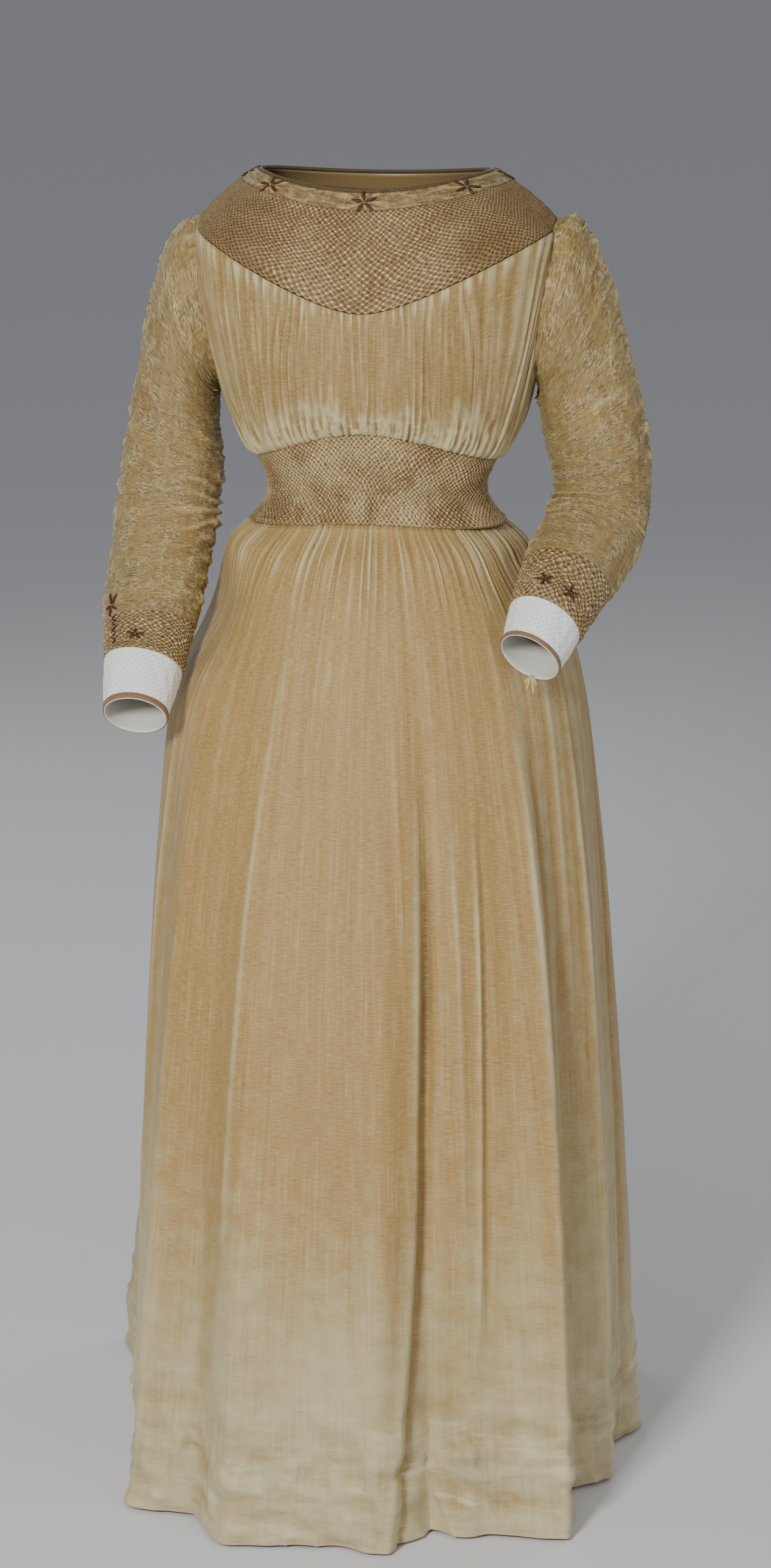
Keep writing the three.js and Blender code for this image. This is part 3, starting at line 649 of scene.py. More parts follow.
def silk(name, main=TAN, silver=SILVER, roughness=0.36, hem=False, streaked=0.12, crushed=0.0):
    """Shot silk by `tone`, with random patches: painted shade in the creases where it is below
    zero, tan, then painted silvery-green sheen and highlights where it is high.

    `streaked` is how strong its fine lines down the cloth are, and `crushed` how strong the
    crumples across it are, with painted shade in their hollows and painted highlights on their
    ridges.
    `hem` adds the crumpled light and shade near the hem, and the hem's edge.
    """
    n = Nodes(name, roughness, SILK_SHEEN, SHOT_SHEEN)
    tone = n.attribute("tone")
    patch = n.noise(0.05, 3.0)
    share = n.maths("ADD", tone, n.ramp(patch, 0.25, 0.75, -0.12, 0.12))
    # Painted sheen and highlights towards silver where the tone is high, painted shade towards DEEP
    # where it is below zero.
    base = n.blend(n.ramp(share, 0.0, 1.0), main, silver)
    base = n.blend(n.ramp(share, 0.0, -1.2, 0.0, 0.6), base, DEEP)
    slub = n.noise(1.0, 3.0, (0.12, 0.9), 0.7)
    base = n.blend(n.ramp(slub, 0.4, 0.75, 0.0, 0.4), base, colour(212, 194, 140))
    base = n.blend(n.ramp(slub, 0.45, 0.25, 0.0, 0.32), base, DEEP)
    streak = n.noise(1.0, 3.0, (0.4, 0.012), 0.6)
    base = n.blend(n.ramp(streak, 0.5, 0.3, 0.0, streaked), base, DEEP)
    base = n.blend(n.ramp(streak, 0.52, 0.72, 0.0, 1.6 * streaked), base, colour(220, 202, 150))
    if hem:
        height = n.parts()[1]
        near = n.ramp(height, HEM_FADE_FROM, HEM_FADE_TO)
        crumple = n.noise(0.024, 4.0, (1.0, 2.0), 0.6)
        shade = n.times(near, n.ramp(crumple, 0.5, 0.28, 0.0, 0.42))
        shine = n.times(near, n.ramp(crumple, 0.52, 0.7, 0.0, 0.72))
        base = n.blend(shade, base, colour(124, 112, 76))
        base = n.blend(shine, base, colour(222, 212, 174))
        base = n.blend(n.ramp(height, -2.6, -1.9, 1.0, 0.0), base, colour(214, 176, 154))
    weave = n.noise(1.0, 2.0, (0.9, 4.0), 0.6)
    normal = n.bump(weave, 0.0004, 0.6)
    if crushed:
        fold = n.noise(1.0, 3.0, (0.085, 0.3), 0.6)
        ridge = n.ramp(n.maths("ABSOLUTE", n.maths("SUBTRACT", fold, 0.5)), 0.0, 0.14, 1.0, 0.0)
        ridge = n.times(ridge, n.ramp(n.noise(0.05, 2.0), 0.42, 0.62, 0.15, 1.0))
        # Painted shade in the crumples' hollows and painted highlights on their ridges, over a bump
        # of the ridges.
        base = n.blend(n.ramp(fold, 0.46, 0.3, 0.0, crushed), base, DEEP)
        base = n.blend(n.times(ridge, crushed), base, colour(224, 208, 162))
        normal = n.bump(ridge, 0.0016, 0.8, normal)
    return n.finish(base, normal)


def smocked(name, main):
    """Silk drawn up in smocking: a dark stitch at every join, with painted shade in the hollow
    round it, and a painted highlight on the raised puff between.

    Where `tone` is high, the cloth is darker and its rows of stitches show as lines.
    """
    n = Nodes(name, 0.42, SILK_SHEEN, SHOT_SHEEN)
    across, down = n.parts()
    wobble = n.maths("SUBTRACT", n.noise(0.45, 2.0), 0.5)
    across = n.maths("ADD", across, n.times(wobble, 1.7))
    down = n.maths("ADD", down, n.times(wobble, 1.1))
    dark = n.attribute("tone")
    lattice = n.times(n.wave(n.times(n.maths("SUBTRACT", across, 0.5), np.pi)),
                      n.wave(n.times(down, np.pi)))
    uneven = n.noise(0.6, 2.0)
    # A painted highlight on each raised puff, fewer where the tone darkens the cloth.
    puff_highlight = n.times(n.ramp(lattice, -0.25, -0.9), n.ramp(uneven, 0.38, 0.6, 0.1, 0.9))
    puff_highlight = n.times(puff_highlight, n.ramp(dark, 0.0, 1.0, 1.0, 0.45))
    # The dark thread at each join, with painted shade in the hollow round it.
    stitch = n.times(n.ramp(lattice, 0.15, 0.75), n.ramp(uneven, 0.35, 0.6, 0.9, 0.45))
    rows = n.ramp(n.wave(n.times(down, 2 * np.pi)), 0.1, 0.9)
    rows = n.times(rows, n.ramp(uneven, 0.35, 0.55, 0.1, 0.75))
    patch = n.noise(0.06, 3.0)
    base = n.blend(n.ramp(patch, 0.35, 0.65), main, colour(136, 106, 64))
    base = n.blend(n.times(dark, 0.4), base, colour(118, 92, 46))
    grain = n.noise(1.3, 3.0, (1, 1), 0.7)
    base = n.blend(n.ramp(grain, 0.55, 0.8, 0.0, 0.5), base, colour(220, 202, 156))
    base = n.blend(n.ramp(grain, 0.42, 0.22, 0.0, 0.5), base, colour(92, 66, 38))
    base = n.blend(puff_highlight, base, colour(236, 218, 174))
    base = n.blend(stitch, base, colour(76, 50, 28))
    base = n.blend(n.times(rows, dark), base, colour(84, 56, 26))
    return n.finish(base, n.bump(n.times(lattice, -1.0), 0.0008, 0.8))


DOT_SPACING = 3.2


def plain(name, main, second, roughness=0.7, sheen=0.2, dots=False):
    """Woven cloth or thread between two colours. `dots` adds small raised dots."""
    n = Nodes(name, roughness, sheen, colour(230, 230, 220))
    base = n.blend(n.ramp(n.noise(0.6, 3.0), 0.3, 0.7), main, second)
    normal = n.bump(n.noise(2.5, 2.0), 0.0003, 0.5)
    if dots:
        waves = [n.wave(n.times(part, np.pi / DOT_SPACING)) for part in n.parts()]
        dot = n.ramp(n.times(*waves), 0.72, 0.9)
        base = n.blend(n.times(dot, 0.5), base, colour(176, 174, 156))
        normal = n.bump(dot, 0.0005, 0.8, normal)
    return n.finish(base, normal)


skirt_silk = silk("skirt_silk", hem=True)
bodice_silk = silk("bodice_silk", colour(150, 119, 68), colour(194, 181, 140), streaked=0.22)
sleeve_silk = silk("sleeve_silk", GOLD, colour(184, 162, 108), roughness=0.4, crushed=0.42)
band_silk = silk("band_silk", colour(112, 84, 48), colour(172, 146, 94), crushed=0.16)
smocked_silk = smocked("smocked_silk", colour(150, 126, 86))
waist_silk = smocked("waist_silk", colour(180, 157, 112))
cuff_cloth = plain("cuff_cloth", colour(255, 255, 252), colour(236, 238, 230), dots=True)
trim_cloth = plain("trim_cloth", colour(150, 118, 84), colour(124, 94, 66))
binding_cloth = plain("binding_cloth", colour(98, 82, 52), colour(66, 56, 34))
tie_silk = plain("tie_silk", colour(206, 190, 140), colour(168, 148, 98))
thread = plain("thread", colour(88, 48, 28), colour(62, 32, 18), 0.5, 0.0)

# ---- Smocking ------------------------------------------------------------------------------

SMOCK_DEPTH = 1.9


def ring(columns):
    """Turns of a closed piece's columns."""
    return FULL * np.arange(columns) / columns


def smock_piece(node, surface, ridges, rows, columns, lines, seed,
                material=smocked_silk, tone=None):
    """A smocked piece with `ridges` round it and `rows` of stitches down it.

    Its cloth is hollow at the stitches, where ridges are drawn together, with crests between.
    """
    def cells(across, down, base):
        share = across / FULL
        sway = 1.2 * noise(share * 16, down * 2.5, seed, 16)
        sway += 0.5 * noise(share * 48, down * 8, seed + 2, 48)
        lean = 0.7 * noise(share * 40, down * 9, seed + 3, 40)
        return (share * ridges + lean * fade_ends(down, 0.1),
                down * rows + sway * fade_ends(down, 0.2))

    def relief(across, down, base):
        a, b = cells(across, down, base)
        patches = ridges // 7
        uneven = 0.8 + 0.4 * noise(across / FULL * patches, down * rows / 3, seed + 1, patches)
        lattice = np.cos(np.pi * (a - 0.5)) * np.cos(np.pi * b)
        honeycomb = SMOCK_DEPTH * (0.5 - 0.5 * lattice) ** 0.8
        return 0.25 + honeycomb * uneven * mix(0.5, 1, fade_ends(down, 0.03))

    sew(node, surface, ring(columns), np.linspace(0, 1, lines), (4, 8), True,
        relief, cells, material, tone=tone)


# ---- Neck and yoke -------------------------------------------------------------------------


def millimetres(across, down, base):
    """Places in millimetres along and across a ring of cloth."""
    step = np.linalg.norm(np.diff(base, axis=1), axis=-1).mean(0)
    along = np.concatenate([[0], np.cumsum(step)])
    fall = np.linalg.norm(np.diff(base, axis=0), axis=-1).mean(1)
    below = np.concatenate([[0], np.cumsum(fall)])
    return np.broadcast_to(along, base.shape[:2]), np.broadcast_to(below[:, None], base.shape[:2])


STAR_TURNS = [0, 48, 93, 138, 180, -138, -93, -48]


def band_relief(turn, down, base):
    """Long soft creases along the band, drawn in at the stars."""
    lift = 0.9 + 1.1 * crests(turn / 7.5, down * 5, 11, 48)
    lift += 0.7 * crests(turn / 3, down * 4, 12, 120)
    for middle in STAR_TURNS:
        away = wrap(turn - middle)
        drawn = bell(away / 8)
        lift += drawn * 0.9 * np.cos(np.arctan2((down - 0.55) * 20, away * 1.9) * 9)
    return np.maximum(lift, 0.1) * mix(0.4, 1, fade_ends(down, 0.12))


# Painted highlights on the band's crests and painted shade in its creases, from the relief's fine
# detail.
def band_painted_shading(turn, down, base, detail):
    return 1.1 * detail


def rounded(edge, height):
    """The relief of a narrow strip that is `height` fuller along its middle."""
    return lambda across, down, base: edge + height * np.sqrt(
        np.sin(np.pi * np.clip(down, 0.02, 0.98)))


sew("neck_binding", yoke_stretch(0, BINDING_HEIGHT), ring(480),
    np.linspace(0, 1, 6), (4, 5), True, rounded(0.4, 0.8), millimetres, binding_cloth)
sew("neck_band",
    yoke_stretch(BINDING_HEIGHT + SEAM_GAP, BINDING_HEIGHT + BAND_HEIGHT), ring(600),
    np.linspace(0, 1, 18), (4, 4), True, band_relief, millimetres, band_silk,
    tone=band_painted_shading)


def darker_beyond(from_middle, over, most, seed):
    """A tone that rises to `most` towards both sides, in millimetres from the middle."""
    def tone(across, down, base, detail):
        ragged = 30 * noise(across / FULL * 30, down * 5, seed, 30)
        return most * soften((np.abs(base[..., 0]) + ragged - from_middle) / over)
    return tone


smock_piece("yoke", yoke_stretch(BINDING_HEIGHT + BAND_HEIGHT + SEAM_GAP, 0), ridges=320,
            rows=34, columns=840, lines=86, seed=3,
            tone=darker_beyond(60, 70, 0.95, 91))
smock_piece("waist_smocking", waist_surface, ridges=252, rows=30, columns=760, lines=82,
            seed=5,
            material=waist_silk, tone=darker_beyond(50, 60, 0.5, 92))

# ---- Embroidery ----------------------------------------------------------------------------


THREAD_STEPS, THREAD_SIDES = 7, 6
STAR_ARMS, STAR_HOLLOW = 5, 0.12


def stitches(name, surface, lines, material, width, height, rise):
    """Raised threads along short lines on a surface, tapered at their ends.

    Each line is its two ends, (across, down) on the surface. `rise` is the height of a thread's
    middle over the surface.
    """
    points, faces = [], []
    shares = np.linspace(0, 1, THREAD_STEPS)
    section = ring(THREAD_SIDES)[None, :, None]
    step_across, step_down = 0.3, 0.003
    for start, end in lines:
        a, d = mix(np.array(start, float)[:, None], np.array(end, float)[:, None], shares)
        here = surface(a, d)
        over = unit(np.cross(surface(a, d + step_down) - surface(a, d - step_down),
                             surface(a + step_across, d) - surface(a - step_across, d)))
        if (over * (here - np.array([0, 0, here[0, 2]]))).sum() < 0:
            over = -over
        side = unit(np.cross(over, np.gradient(here, axis=0)))
        full = np.sqrt(np.sin(np.pi * mix(0.06, 0.94, shares)))[:, None, None]
        tube = (here + over * rise)[:, None] + full * (
            side[:, None] * cosine(section) * width / 2
            + over[:, None] * sine(section) * height / 2)
        first = len(points)
        points += tube.reshape(-1, 3).tolist()
        sides = quads(first, THREAD_STEPS, THREAD_SIDES, True, False)
        faces += [tuple(face) for face in sides.tolist()]
        faces += [tuple(range(first + THREAD_SIDES - 1, first - 1, -1)),
                  tuple(range(len(points) - THREAD_SIDES, len(points)))]
    mesh = bpy.data.meshes.new(name)
    mesh.from_pydata((np.array(points) / 1000).tolist(), [], faces)
    layer = mesh.uv_layers.new(name="cells")
    corners = np.array([loop.vertex_index for loop in mesh.loops])
    layer.data.foreach_set("uv", np.array(points)[corners][:, [0, 2]].astype(np.float32).ravel())
    add_piece(name, mesh, material)


def star(across, down, spin, arm_across, arm_down):
    """The lines of a star: how far an arm reaches across and down, in shares of its surface."""
    middle = np.array([across, down])
    lines = []
    for arm in range(STAR_ARMS):
        angle = spin + FULL * arm / STAR_ARMS
        reach = np.array([arm_across * sine(angle), arm_down * cosine(angle)])
        lines.append((middle + STAR_HOLLOW * reach, middle + reach))
    return lines


def neck_reach(turn, down):
    """The neck and yoke by turn and millimetres below the neck edge."""
    return yoke_surface(turn, down / yoke_length(turn))


neck_stars = []
for index, turn in enumerate(STAR_TURNS):
    before, after = neck_reach(np.array([turn - 1.0, turn + 1.0]), np.array([14.0, 14.0]))
    degree = np.linalg.norm(after - before) / 2
    neck_stars += star(turn, 14.5, 186 + 23 * (index % 3), 13 / degree, 12)
stitches("neck_stars", neck_reach, neck_stars, thread,
         width=3.2, height=2.2, rise=2.2)

# ---- Bodice --------------------------------------------------------------------------------


def near_ends(down):
    """High near the top and the bottom of the bodice, where it is drawn into smocking."""
    return np.maximum(soften(1 - down / 0.2), soften((down - 0.7) / 0.2))


def bodice_relief(front):
    """Gathers between the two bands of smocking, crumpled where they are drawn into the waist."""
    seed = 21 if front else 31

    def relief(across, down, base):
        gathers = 44 / 2
        sway = 0.8 * noise(across * 9 + 20, down * 2.2, seed)
        wave = 0.5 + 0.5 * np.cos(2 * np.pi * (across * gathers + sway))
        strength = np.clip(0.5 + 0.9 * noise(across * gathers + 60, down * 2.5, seed + 1), 0, 2)
        bend = 0.6 * noise(across * 12 + 30, down * 4, seed + 7)
        fine = 0.5 + 0.5 * noise(across * 62 + 80 + bend, down * 3.4, seed + 2)
        ends = near_ends(down)
        lift = 2.0 * wave ** 0.8 * strength * mix(0.7, 1, ends) + 2.6 * fine * mix(0.3, 1, ends)
        crumple = 2 * crests(across * 26 + 90, down * 8, seed + 3)
        crumple += 1.4 * crests(across * 44 + 90, down * 17, seed + 6)
        lift += 0.9 * crumple * soften((down - 0.6) / 0.2) * soften((1 - down) / 0.08)
        lift = lift * mix(0.75, 1, soften(down / 0.04)) * mix(0.4, 1, soften((1 - down) / 0.05))
        return np.maximum(lift, 0) + 0.15
    return relief


def bodice_painted_sheen(front):
    """Painted sheen and highlights: silvery at the top, the sides and above the waist, tan between,
    with fine streaks, painted highlights on the gathers' crests and painted shade in their hollows.
    """
    seed = 24 if front else 34

    def tone(across, down, base, detail):
        ragged = 0.14 * noise(across * 16 + 50, down * 3, seed)
        ragged += 0.07 * noise(across * 40 + 90, down * 6, seed + 1)
        low = 0.9 * soften((down - 0.5 + 0.8 * ragged) / 0.36)
        high = soften((0.2 - down + ragged) / 0.2) * 0.36
        sides = soften((np.abs(across) - 0.45) / 0.4) * 0.5
        streak = 0.16 * noise(across * 50 + 70, down * 2, seed + 2)
        streak += 0.26 * noise(across * 110 + 120, down * 3.5, seed + 4)
        ends = near_ends(down)
        return (0.8 * np.maximum.reduce([low, high, sides]) + mix(0.7, 1, ends) * streak
                + mix(0.35, 0.6, ends) * detail)
    return tone


for label, is_front, columns, lines in (("front", True, 640, 84), ("back", False, 436, 64)):
    sew(f"bodice_{label}", bodice_surface(is_front),
        np.linspace(-SIDE_SEAM, SIDE_SEAM, columns), np.linspace(0.002, 1, lines), (6, 6), False,
        bodice_relief(is_front), millimetres, bodice_silk, tone=bodice_painted_sheen(is_front))

# ---- Skirt ---------------------------------------------------------------------------------

HEM_STITCH, HEM_EDGE, SKIRT_CELL_RADIUS = 76, 4.0, 200
# heights and turns that a crease runs through, its height (a trough where negative), its breadth
# and how long it takes to rise
CREASES = [
    (((-480, 23), (-560, 22), (-771, 21), (-1042, 19), (HEM_Z, 13.5)), -8.0, 5.5, 420),
    (((-480, 19.5), (-560, 18.5), (-771, 17.7), (-1042, 15.7), (HEM_Z, 10)), 4.5, 6.5, 380),
    (((-430, -26), (-553, -26), (-963, -27), (-1100, -26)), 2.2, 5.0, 300),
    (((-700, -17.5), (-848, -18.5)), 1.2, 3.0, 70),
    (((-418, 11), (-600, 13), (-826, 15)), 1.6, 4.5, 180),
    (((-540, 28), (-760, 28.5), (-1120, 28)), 2.0, 3.5, 240),
    (((-570, 34.8), (-760, 33.6), (-1040, 31.6), (-1180, 30.6)), 3.4, 3.4, 240),
    (((-560, 36.6), (-760, 35.4), (-1040, 33.4), (-1180, 32.4)), -3.0, 3.4, 240),
    (((-450, 50), (-900, 48), (HEM_Z, 43.5)), 4.0, 6.0, 300),
    (((-450, 55), (-900, 53), (HEM_Z, 48.5)), -5.0, 8.0, 300),
    (((-440, -24.5), (-540, -23.5)), 1.4, 3.0, 50),
    (((-440, -8.5), (-520, -8)), 1.4, 3.0, 40),
    (((-460, -66), (-800, -68), (HEM_Z, -70)), 3.0, 6.0, 300),
    (((-430, 71), (-900, 71.5), (HEM_Z, 71)), 3.0, 6.0, 300),
    (((-500, -50), (-900, -48), (HEM_Z, -46)), 2.5, 8.0, 300),
    (((-980, -8), (-1240, -7)), 1.2, 3.0, 120),
    (((-1010, 3), (-1200, 1)), -1.3, 4.0, 90),
    (((-1060, -34), (-1354, -41)), 2.2, 7.0, 140),
    (((-420, 128), (-900, 131), (HEM_Z, 134)), 3.5, 6.0, 300),
    (((-430, 157), (-900, 160), (-1300, 160)), -4.0, 6.0, 300),
    (((-420, 176), (-800, 177), (-1200, 179)), 3.0, 5.0, 200),
    (((-440, -171), (-800, -170), (HEM_Z, -169)), -4.5, 6.0, 300),
    (((-430, -152), (-700, -152), (-1100, -151)), 3.0, 5.0, 200),
    (((-440, -112), (-900, -112), (HEM_Z, -112)), -5.0, 8.0, 300),
    (((-440, 92), (-800, 93), (HEM_Z, 94)), -4.0, 7.0, 300),
    (((-470, 112), (-900, 113), (-1200, 112)), 3.0, 4.5, 200),
]


def creases_at(turn, z, radius):
    """The soft creases that run down the skirt. One that ends above the hem fades out there."""
    lift = np.zeros(turn.shape)
    for path, height, breadth, rising in CREASES:
        heights, turns = np.array(path, float).T
        centre = np.interp(-z, -heights, turns)
        away = np.radians(wrap(turn - centre)) * radius / breadth
        start, end = heights[0], heights[-1]
        fade_in = soften((start - z) / rising)
        fade_out = 1 if end <= HEM_Z else soften((z - end) / min(120, (start - end) / 2))
        lift += height * np.exp(-np.abs(away) ** 1.6) * fade_in * fade_out
    return lift


def skirt_relief(turn, down, base):
    """Fine gathers at the waist, soft waves and creases below, and a crumpled, stitched hem."""
    z = base[..., 2]
    radius = np.hypot(base[..., 0], base[..., 1])
    round_turn = turn % FULL
    top = mix(0.35, 1, soften(down / 0.03)) * (1 - soften(down / 0.16)) ** 1.5
    sway = 0.45 * noise(round_turn / 9, down * 8, 41, 40)
    wave = np.cos(2 * np.pi * (round_turn / FULL * 96 + sway))
    strength = np.clip(0.5 + 0.9 * noise(round_turn / FULL * 96, down * 7, 42, 96), 0, 2)
    fine = noise(round_turn / 1.25, down * 12, 43, 288)
    fine += 0.5 * noise(round_turn / 0.8, down * 22, 50, 450)
    lift = top * (1.3 * wave * strength + 1.7 * fine * (1 - soften(down / 0.12)))
    long_wave = noise(round_turn / 4, down * 2.4, 44, 90)
    lift += 1.1 * long_wave * soften((down - 0.03) / 0.1) * (1 - 0.7 * soften((down - 0.4) / 0.3))
    short_wave = noise(round_turn / 1.6, down * 3.5, 45, 225)
    lift += 0.45 * short_wave * soften((down - 0.05) / 0.1) * (1 - soften((down - 0.4) / 0.35))
    lift += creases_at(turn, z, radius)
    above_hem = z - HEM_Z
    above_stitch = above_hem - HEM_STITCH
    stitch = bell((above_stitch - 2 * noise(round_turn / 6, 0 * z, 56, 60)) / 2.6)
    pucker = noise(round_turn / 1.5, above_hem / 9, 46, 240) * bell(above_stitch / 16)
    lift += -2.2 * stitch + 2.6 * pucker
    near_hem = soften((180 - above_hem) / 120)
    slanted = round_turn + above_hem / 14
    lift += 5.0 * near_hem * noise(slanted / 9, above_hem / 34, 47, 40)
    lift += 2.8 * near_hem * noise(slanted / 4.5, above_hem / 15, 48, 80)
    sharp = 1 - np.abs(noise(slanted / 7.2, above_hem / 24, 55, 50))
    lift += 3.2 * near_hem * (sharp ** 4 - 0.2)
    lift += 0.6 * soften((down - 0.45) / 0.2) * noise(round_turn / 8, above_hem / 22, 49, 45)
    return lift


# turns of the painted highlights where the skirt's folds catch the light, how wide and how much
SKIRT_PAINTED_HIGHLIGHTS = [(56, 9, 0.35), (76, 12, 0.4), (-64, 9, 0.3), (-26, 3, 0.22)]


def skirt_painted_sheen(turn, down, base, detail):
    """Tan at the front, painted silvery sheen down to the hem and at the waist, painted highlights
    where the folds catch light, fine streaks, and painted shade in the creases.
    """
    z = base[..., 2]
    round_turn = turn % FULL
    ragged = 120 * noise(round_turn / 18, z / 300, 51, 20)
    ragged += 35 * noise(round_turn / 6, z / 110, 52, 60)
    low = soften((-840 - z + ragged) / 520) * 0.8
    top = soften((z + 430 + 0.3 * ragged) / 90) * 0.16
    high = 1 - soften((down - 0.1) / 0.3)
    streak = 0.08 * noise(round_turn / 2.25, z / 260, 53, 160)
    streak += 0.24 * high * noise(round_turn / 0.9, z / 120, 54, 400)
    light = sum(share * bell(wrap(turn - at) / wide) for at, wide, share in SKIRT_PAINTED_HIGHLIGHTS)
    painted_crease_shading = mix(0.4, 0.06, soften((down - 0.25) / 0.4)) * detail
    return np.maximum(low, top) + streak + light + painted_crease_shading


def skirt_cells(turn, down, base):
    """Places on the skirt's cloth: arcs of one radius across it, and heights over its hem edge."""
    return np.radians(turn) * SKIRT_CELL_RADIUS, base[..., 2] - HEM_Z - HEM_EDGE


SKIRT_HALF = 89.98
skirt_downs = np.unique(np.concatenate([
    np.linspace(0, 0.1, 22), np.linspace(0.1, 0.3, 18), np.linspace(0.3, 0.86, 38),
    np.linspace(0.86, 0.995, 30), [0.997, 0.9985, 1.0],
]))
for label, middle, columns, size in (
        ("front", 0, 620, (0.8, 1.03)), ("back", 180, 460, (0.88, 1.04))):
    sew(f"skirt_{label}", skirt_surface,
        middle + np.linspace(-SKIRT_HALF, SKIRT_HALF, columns), skirt_downs, (5, 6), False,
        skirt_relief, skirt_cells, skirt_silk, tone=skirt_painted_sheen,
        under=0.4)

# ---- Sleeves -------------------------------------------------------------------------------


SLEEVE_LENGTH, SLEEVE_HALF_ROUND = 430, 150


def sleeve_relief(seed, elbow):
    """Broken creases round the arm, drawn up along the outer and inner seams and at the elbow."""
    def relief(across, down, base):
        turn = across % FULL
        length = down * SLEEVE_LENGTH
        from_outer = np.abs(wrap(turn)) / 180 * SLEEVE_HALF_ROUND
        from_inner = np.abs(wrap(turn - 180)) / 180 * SLEEVE_HALF_ROUND
        drawn = bell(from_outer / 17) + 0.8 * bell(from_inner / 17)
        bent = 0.8 * noise(turn / 60, length / 55, seed + 5, 6)
        lift = 1.6 * noise(turn / 45, length / 38, seed + 3, 8)
        for wide, high, height, part in ((30, 9, 1.9, 1), (15, 5, 1.3, 2)):
            fold = noise(turn / wide, length / high + 0.5 * bent, seed + part, int(FULL / wide))
            shown = soften(0.35 + 0.9 * noise(turn / 36, length / 26, seed + 6 + part, 10))
            lift += height * (1 - np.abs(fold)) ** 3 * (shown + drawn)
        pulled = noise(turn / 12, length / 4.6 + turn / 40, seed, 30)
        lift += 2.4 * drawn * np.clip(0.8 - 1.6 * np.abs(pulled), -0.4, 1)
        bend = bell((down - elbow) / 0.13) * bell(wrap(turn - 180) / 75)
        lift += 2.4 * bend * np.cos(2 * np.pi * (length / 17 + bent))
        head = 1 - soften(down / 0.13)
        gathers = noise(turn / 4.5, length / 18, seed + 12, 80)
        lift = lift * (1 - 0.5 * head) + 1.9 * head * gathers
        return np.maximum(lift, -0.4) * mix(0.35, 1, fade_ends(down, 0.02)) + 0.4
    return relief


def sleeve_patches_and_shading(seed):
    """Random patches and bands of silver on gold, more along the seams, with painted highlights on
    the creases' crests and painted shade in their hollows.
    """
    def tone(across, down, base, detail):
        turn = across % FULL
        patch = 0.35 * noise(turn / 36, down * 11, seed + 7, 10)
        band = 0.3 * noise(turn / 60, down * 34, seed + 9, 6)
        edge = 0.3 * (bell(wrap(turn) / 30) + bell(wrap(turn - 180) / 30))
        return patch + band + edge + 0.5 * detail - 0.22
    return tone


def cuff_relief(seed):
    """Soft upright folds that end above the trim."""
    def relief(across, down, base):
        turn = across % FULL
        free = soften((0.84 - down) / 0.12) * soften((down + 0.04) / 0.1)
        tucks = 1.3 * crests(turn / 24, down * 0.7, seed, 15)
        tucks += 0.8 * crests(turn / 12 + 5 * down, down * 3, seed + 2, 30)
        return 0.12 + free * (tucks + 0.6 * noise(turn / 40, down * 2, seed + 1, 9))
    return relief


def make_arm(label, side, stations, elbow, seed, stars, lacing=()):
    """Sleeve, smocked wrist, cuff and trim of one arm, with its embroidery.

    `elbow` is its share of the sleeve. A star is its place round the wrist and down from the
    sleeve's last station to the cuff, and the angle of its first arm.
    """
    table = arm_table(side, *stations)
    sleeve_end = len(stations[0])
    cuff_start, last = sleeve_end + len(WRIST_STATIONS), len(table) - 1
    sew(f"sleeve_{label}", arm_surface(table, 0, sleeve_end - STATION_GAP),
        ring(160), np.linspace(0, 1, 256), (4, 6), True, sleeve_relief(seed, elbow), millimetres,
        sleeve_silk, tone=sleeve_patches_and_shading(seed),
        under=0.6,
        stands_for=[f"sleeve_{label}_front", f"sleeve_{label}_back"])
    smock_piece(f"wrist_smocking_{label}",
                arm_surface(table, sleeve_end + STATION_GAP, cuff_start - STATION_GAP), ridges=68,
                rows=20, columns=224, lines=64,
                seed=seed + 11)
    sew(f"cuff_{label}", arm_surface(table, cuff_start + STATION_GAP, last),
        ring(144), np.linspace(0, 1, 34), (4, 6), True, cuff_relief(seed + 14), millimetres,
        cuff_cloth,
        under=CUFF_WALL - WALL)
    wrist = arm_surface(table, sleeve_end - 1, cuff_start)
    star_lines = [line for where, down, spin in stars
                  for line in star(where, down, spin, 12, 0.1)]
    stitches(f"wrist_stars_{label}", wrist, star_lines, thread,
             width=2.6, height=2.0, rise=3.4)
    if lacing:
        stitches("wrist_lacing", wrist, lacing, thread,
                 width=1.5, height=1.4, rise=2.6)
    sew(f"cuff_trim_{label}",
        arm_surface(table, mix(cuff_start, last, TRIM_FROM), mix(cuff_start, last, TRIM_TO)),
        ring(144), np.linspace(0, 1, 7), (4, 3), True, rounded(SEAM_GAP + 0.7, 0.6), millimetres,
        trim_cloth, under=-SEAM_GAP - WALL)


zigzag = [((-52 + 8 * (step % 2), 0.22 + 0.07 * step), (-44 - 8 * (step % 2), 0.28 + 0.07 * step))
          for step in range(9)]
make_arm("right", -1, (RIGHT_SLEEVE, RIGHT_WRIST, RIGHT_CUFF), 0.72, 61,
         [(-42, 0.12, 10), (-81, 0.69, 40), (60, 0.6, 0), (170, 0.62, 20)], zigzag)
make_arm("left", 1, (LEFT_SLEEVE, LEFT_WRIST, LEFT_CUFF), 0.74, 81,
         [(123, 0.74, 10), (84, 0.77, 30), (-30, 0.7, 0), (-120, 0.7, 20)])

TIE_X, TIE_Y, TIE_Z = 171, -130, -483


def below_cuff(across, down):
    """Millimetres across and down from where the tie hangs at the left cuff's end."""
    return stack(TIE_X + across, TIE_Y, TIE_Z - down)


stitches("cuff_tie", below_cuff,
         [((0, 0), (-5, 15)), ((1, 1), (2, 18)), ((-1, 2), (-7, 8)), ((2, 2), (5, 10))], tie_silk,
         width=3.6, height=2.2, rise=0.0)

# ---- Room, lights and camera ---------------------------------------------------------------

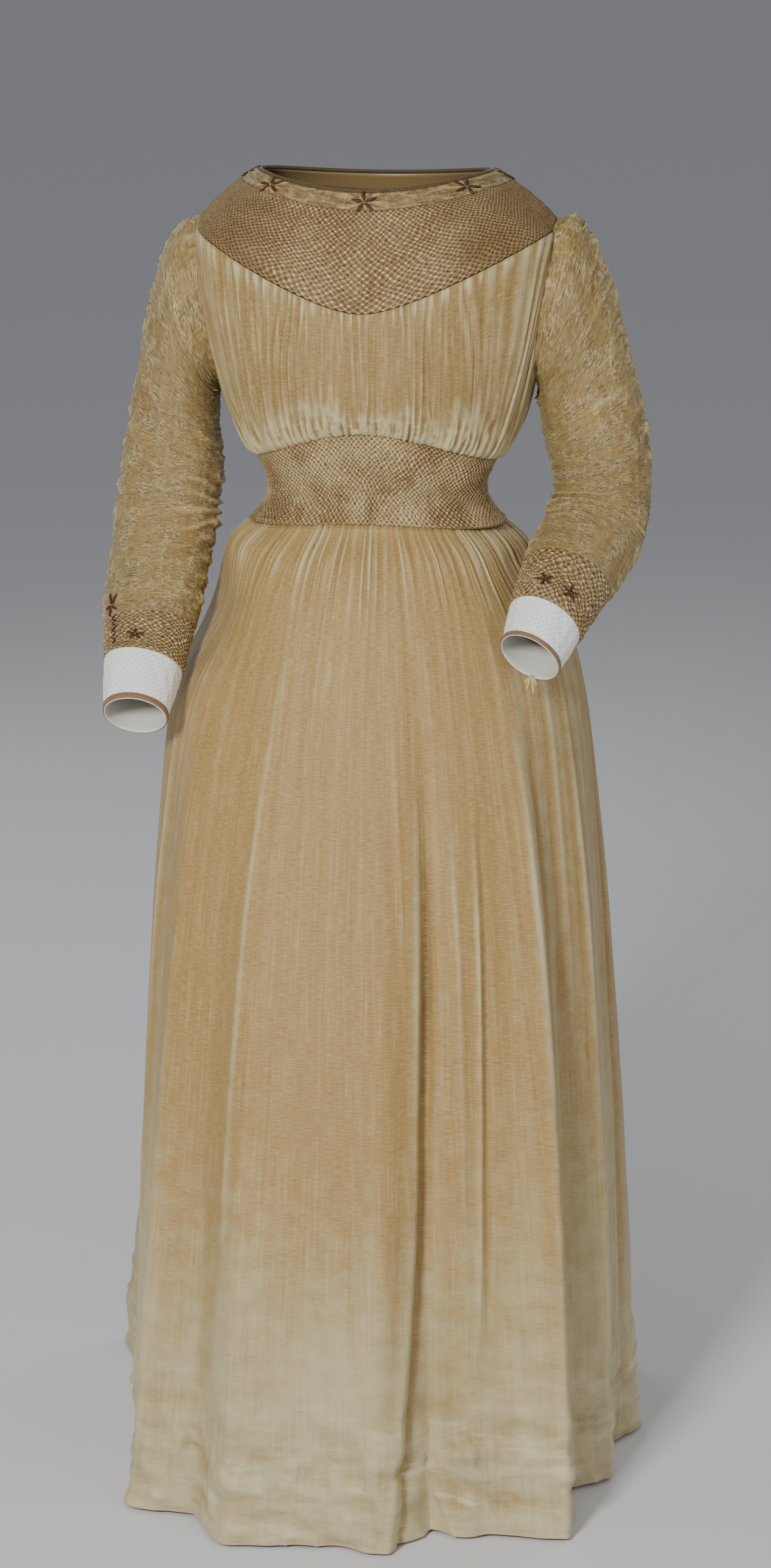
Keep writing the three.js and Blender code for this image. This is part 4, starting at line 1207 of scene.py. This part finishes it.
# Lengths from here on are metres.
FLOOR_REACH, FLOOR_Z = 60.0, HEM_Z / 1000 - 0.004
floor_mesh = bpy.data.meshes.new("floor")
floor_mesh.from_pydata([(x * FLOOR_REACH, y * FLOOR_REACH, FLOOR_Z)
                        for x, y in ((-1, -1), (1, -1), (1, 1), (-1, 1))], [], [(0, 1, 2, 3)])
floor = bpy.data.objects.new("floor", floor_mesh)
bpy.context.scene.collection.objects.link(floor)
floor_paint = bpy.data.materials.new("floor_paint")
floor_paint.use_nodes = True
floor_shader = floor_paint.node_tree.nodes["Principled BSDF"]
floor_shader.inputs["Base Color"].default_value = colour(230, 230, 232)
floor_shader.inputs["Roughness"].default_value = 0.9
floor_mesh.materials.append(floor_paint)

world = bpy.data.worlds.new("studio")
world.use_nodes = True
world.node_tree.nodes["Background"].inputs["Color"].default_value = (0.78, 0.8, 0.84, 1)
world.node_tree.nodes["Background"].inputs["Strength"].default_value = 0.3
bpy.context.scene.world = world

LAMPS_AIM = Vector((0, 0, -0.6))


def lamp(name, place, size, power):
    light = bpy.data.lights.new(name, "AREA")
    light.size, light.energy = size, power
    lamp_object = bpy.data.objects.new(name, light)
    bpy.context.scene.collection.objects.link(lamp_object)
    lamp_object.location = place
    lamp_object.rotation_euler = (LAMPS_AIM - Vector(place)).to_track_quat("-Z", "Y").to_euler()


lamp("key", (-0.9, -3.6, 1.0), 0.7, 135)
lamp("fill", (2.6, -2.2, 0.4), 2.2, 22)
lamp("rim", (-2.2, 2.2, 1.0), 2.0, 18)
lamp("back", (2.0, 2.4, 1.0), 2.0, 18)

# The camera stands where the photo's was fitted. Its focal length is in pixels of the photo.
AZIMUTH, TILT, DISTANCE, CAMERA_Z = np.radians(8), np.radians(14.2), 3.55, 0.266
FOCAL, FRAME_HEIGHT, SHIFT, SENSOR = 5800, 2576, 13, 36
heading = AZIMUTH - SHIFT / FOCAL
ahead = np.array([-np.sin(heading), np.cos(heading), 0])
right = np.array([np.cos(heading), np.sin(heading), 0])
forward = ahead * np.cos(TILT) - np.array([0, 0, 1]) * np.sin(TILT)
lens = bpy.data.cameras.new("camera")
lens.lens, lens.sensor_width = FOCAL * SENSOR / FRAME_HEIGHT, SENSOR
camera = bpy.data.objects.new("camera", lens)
bpy.context.scene.collection.objects.link(camera)
pose = np.eye(4)
pose[:3, 0], pose[:3, 1], pose[:3, 2] = right, np.cross(right, forward), -forward
pose[:3, 3] = DISTANCE * np.sin(AZIMUTH), -DISTANCE * np.cos(AZIMUTH), CAMERA_Z
camera.matrix_world = Matrix(pose.tolist())
bpy.context.scene.camera = camera
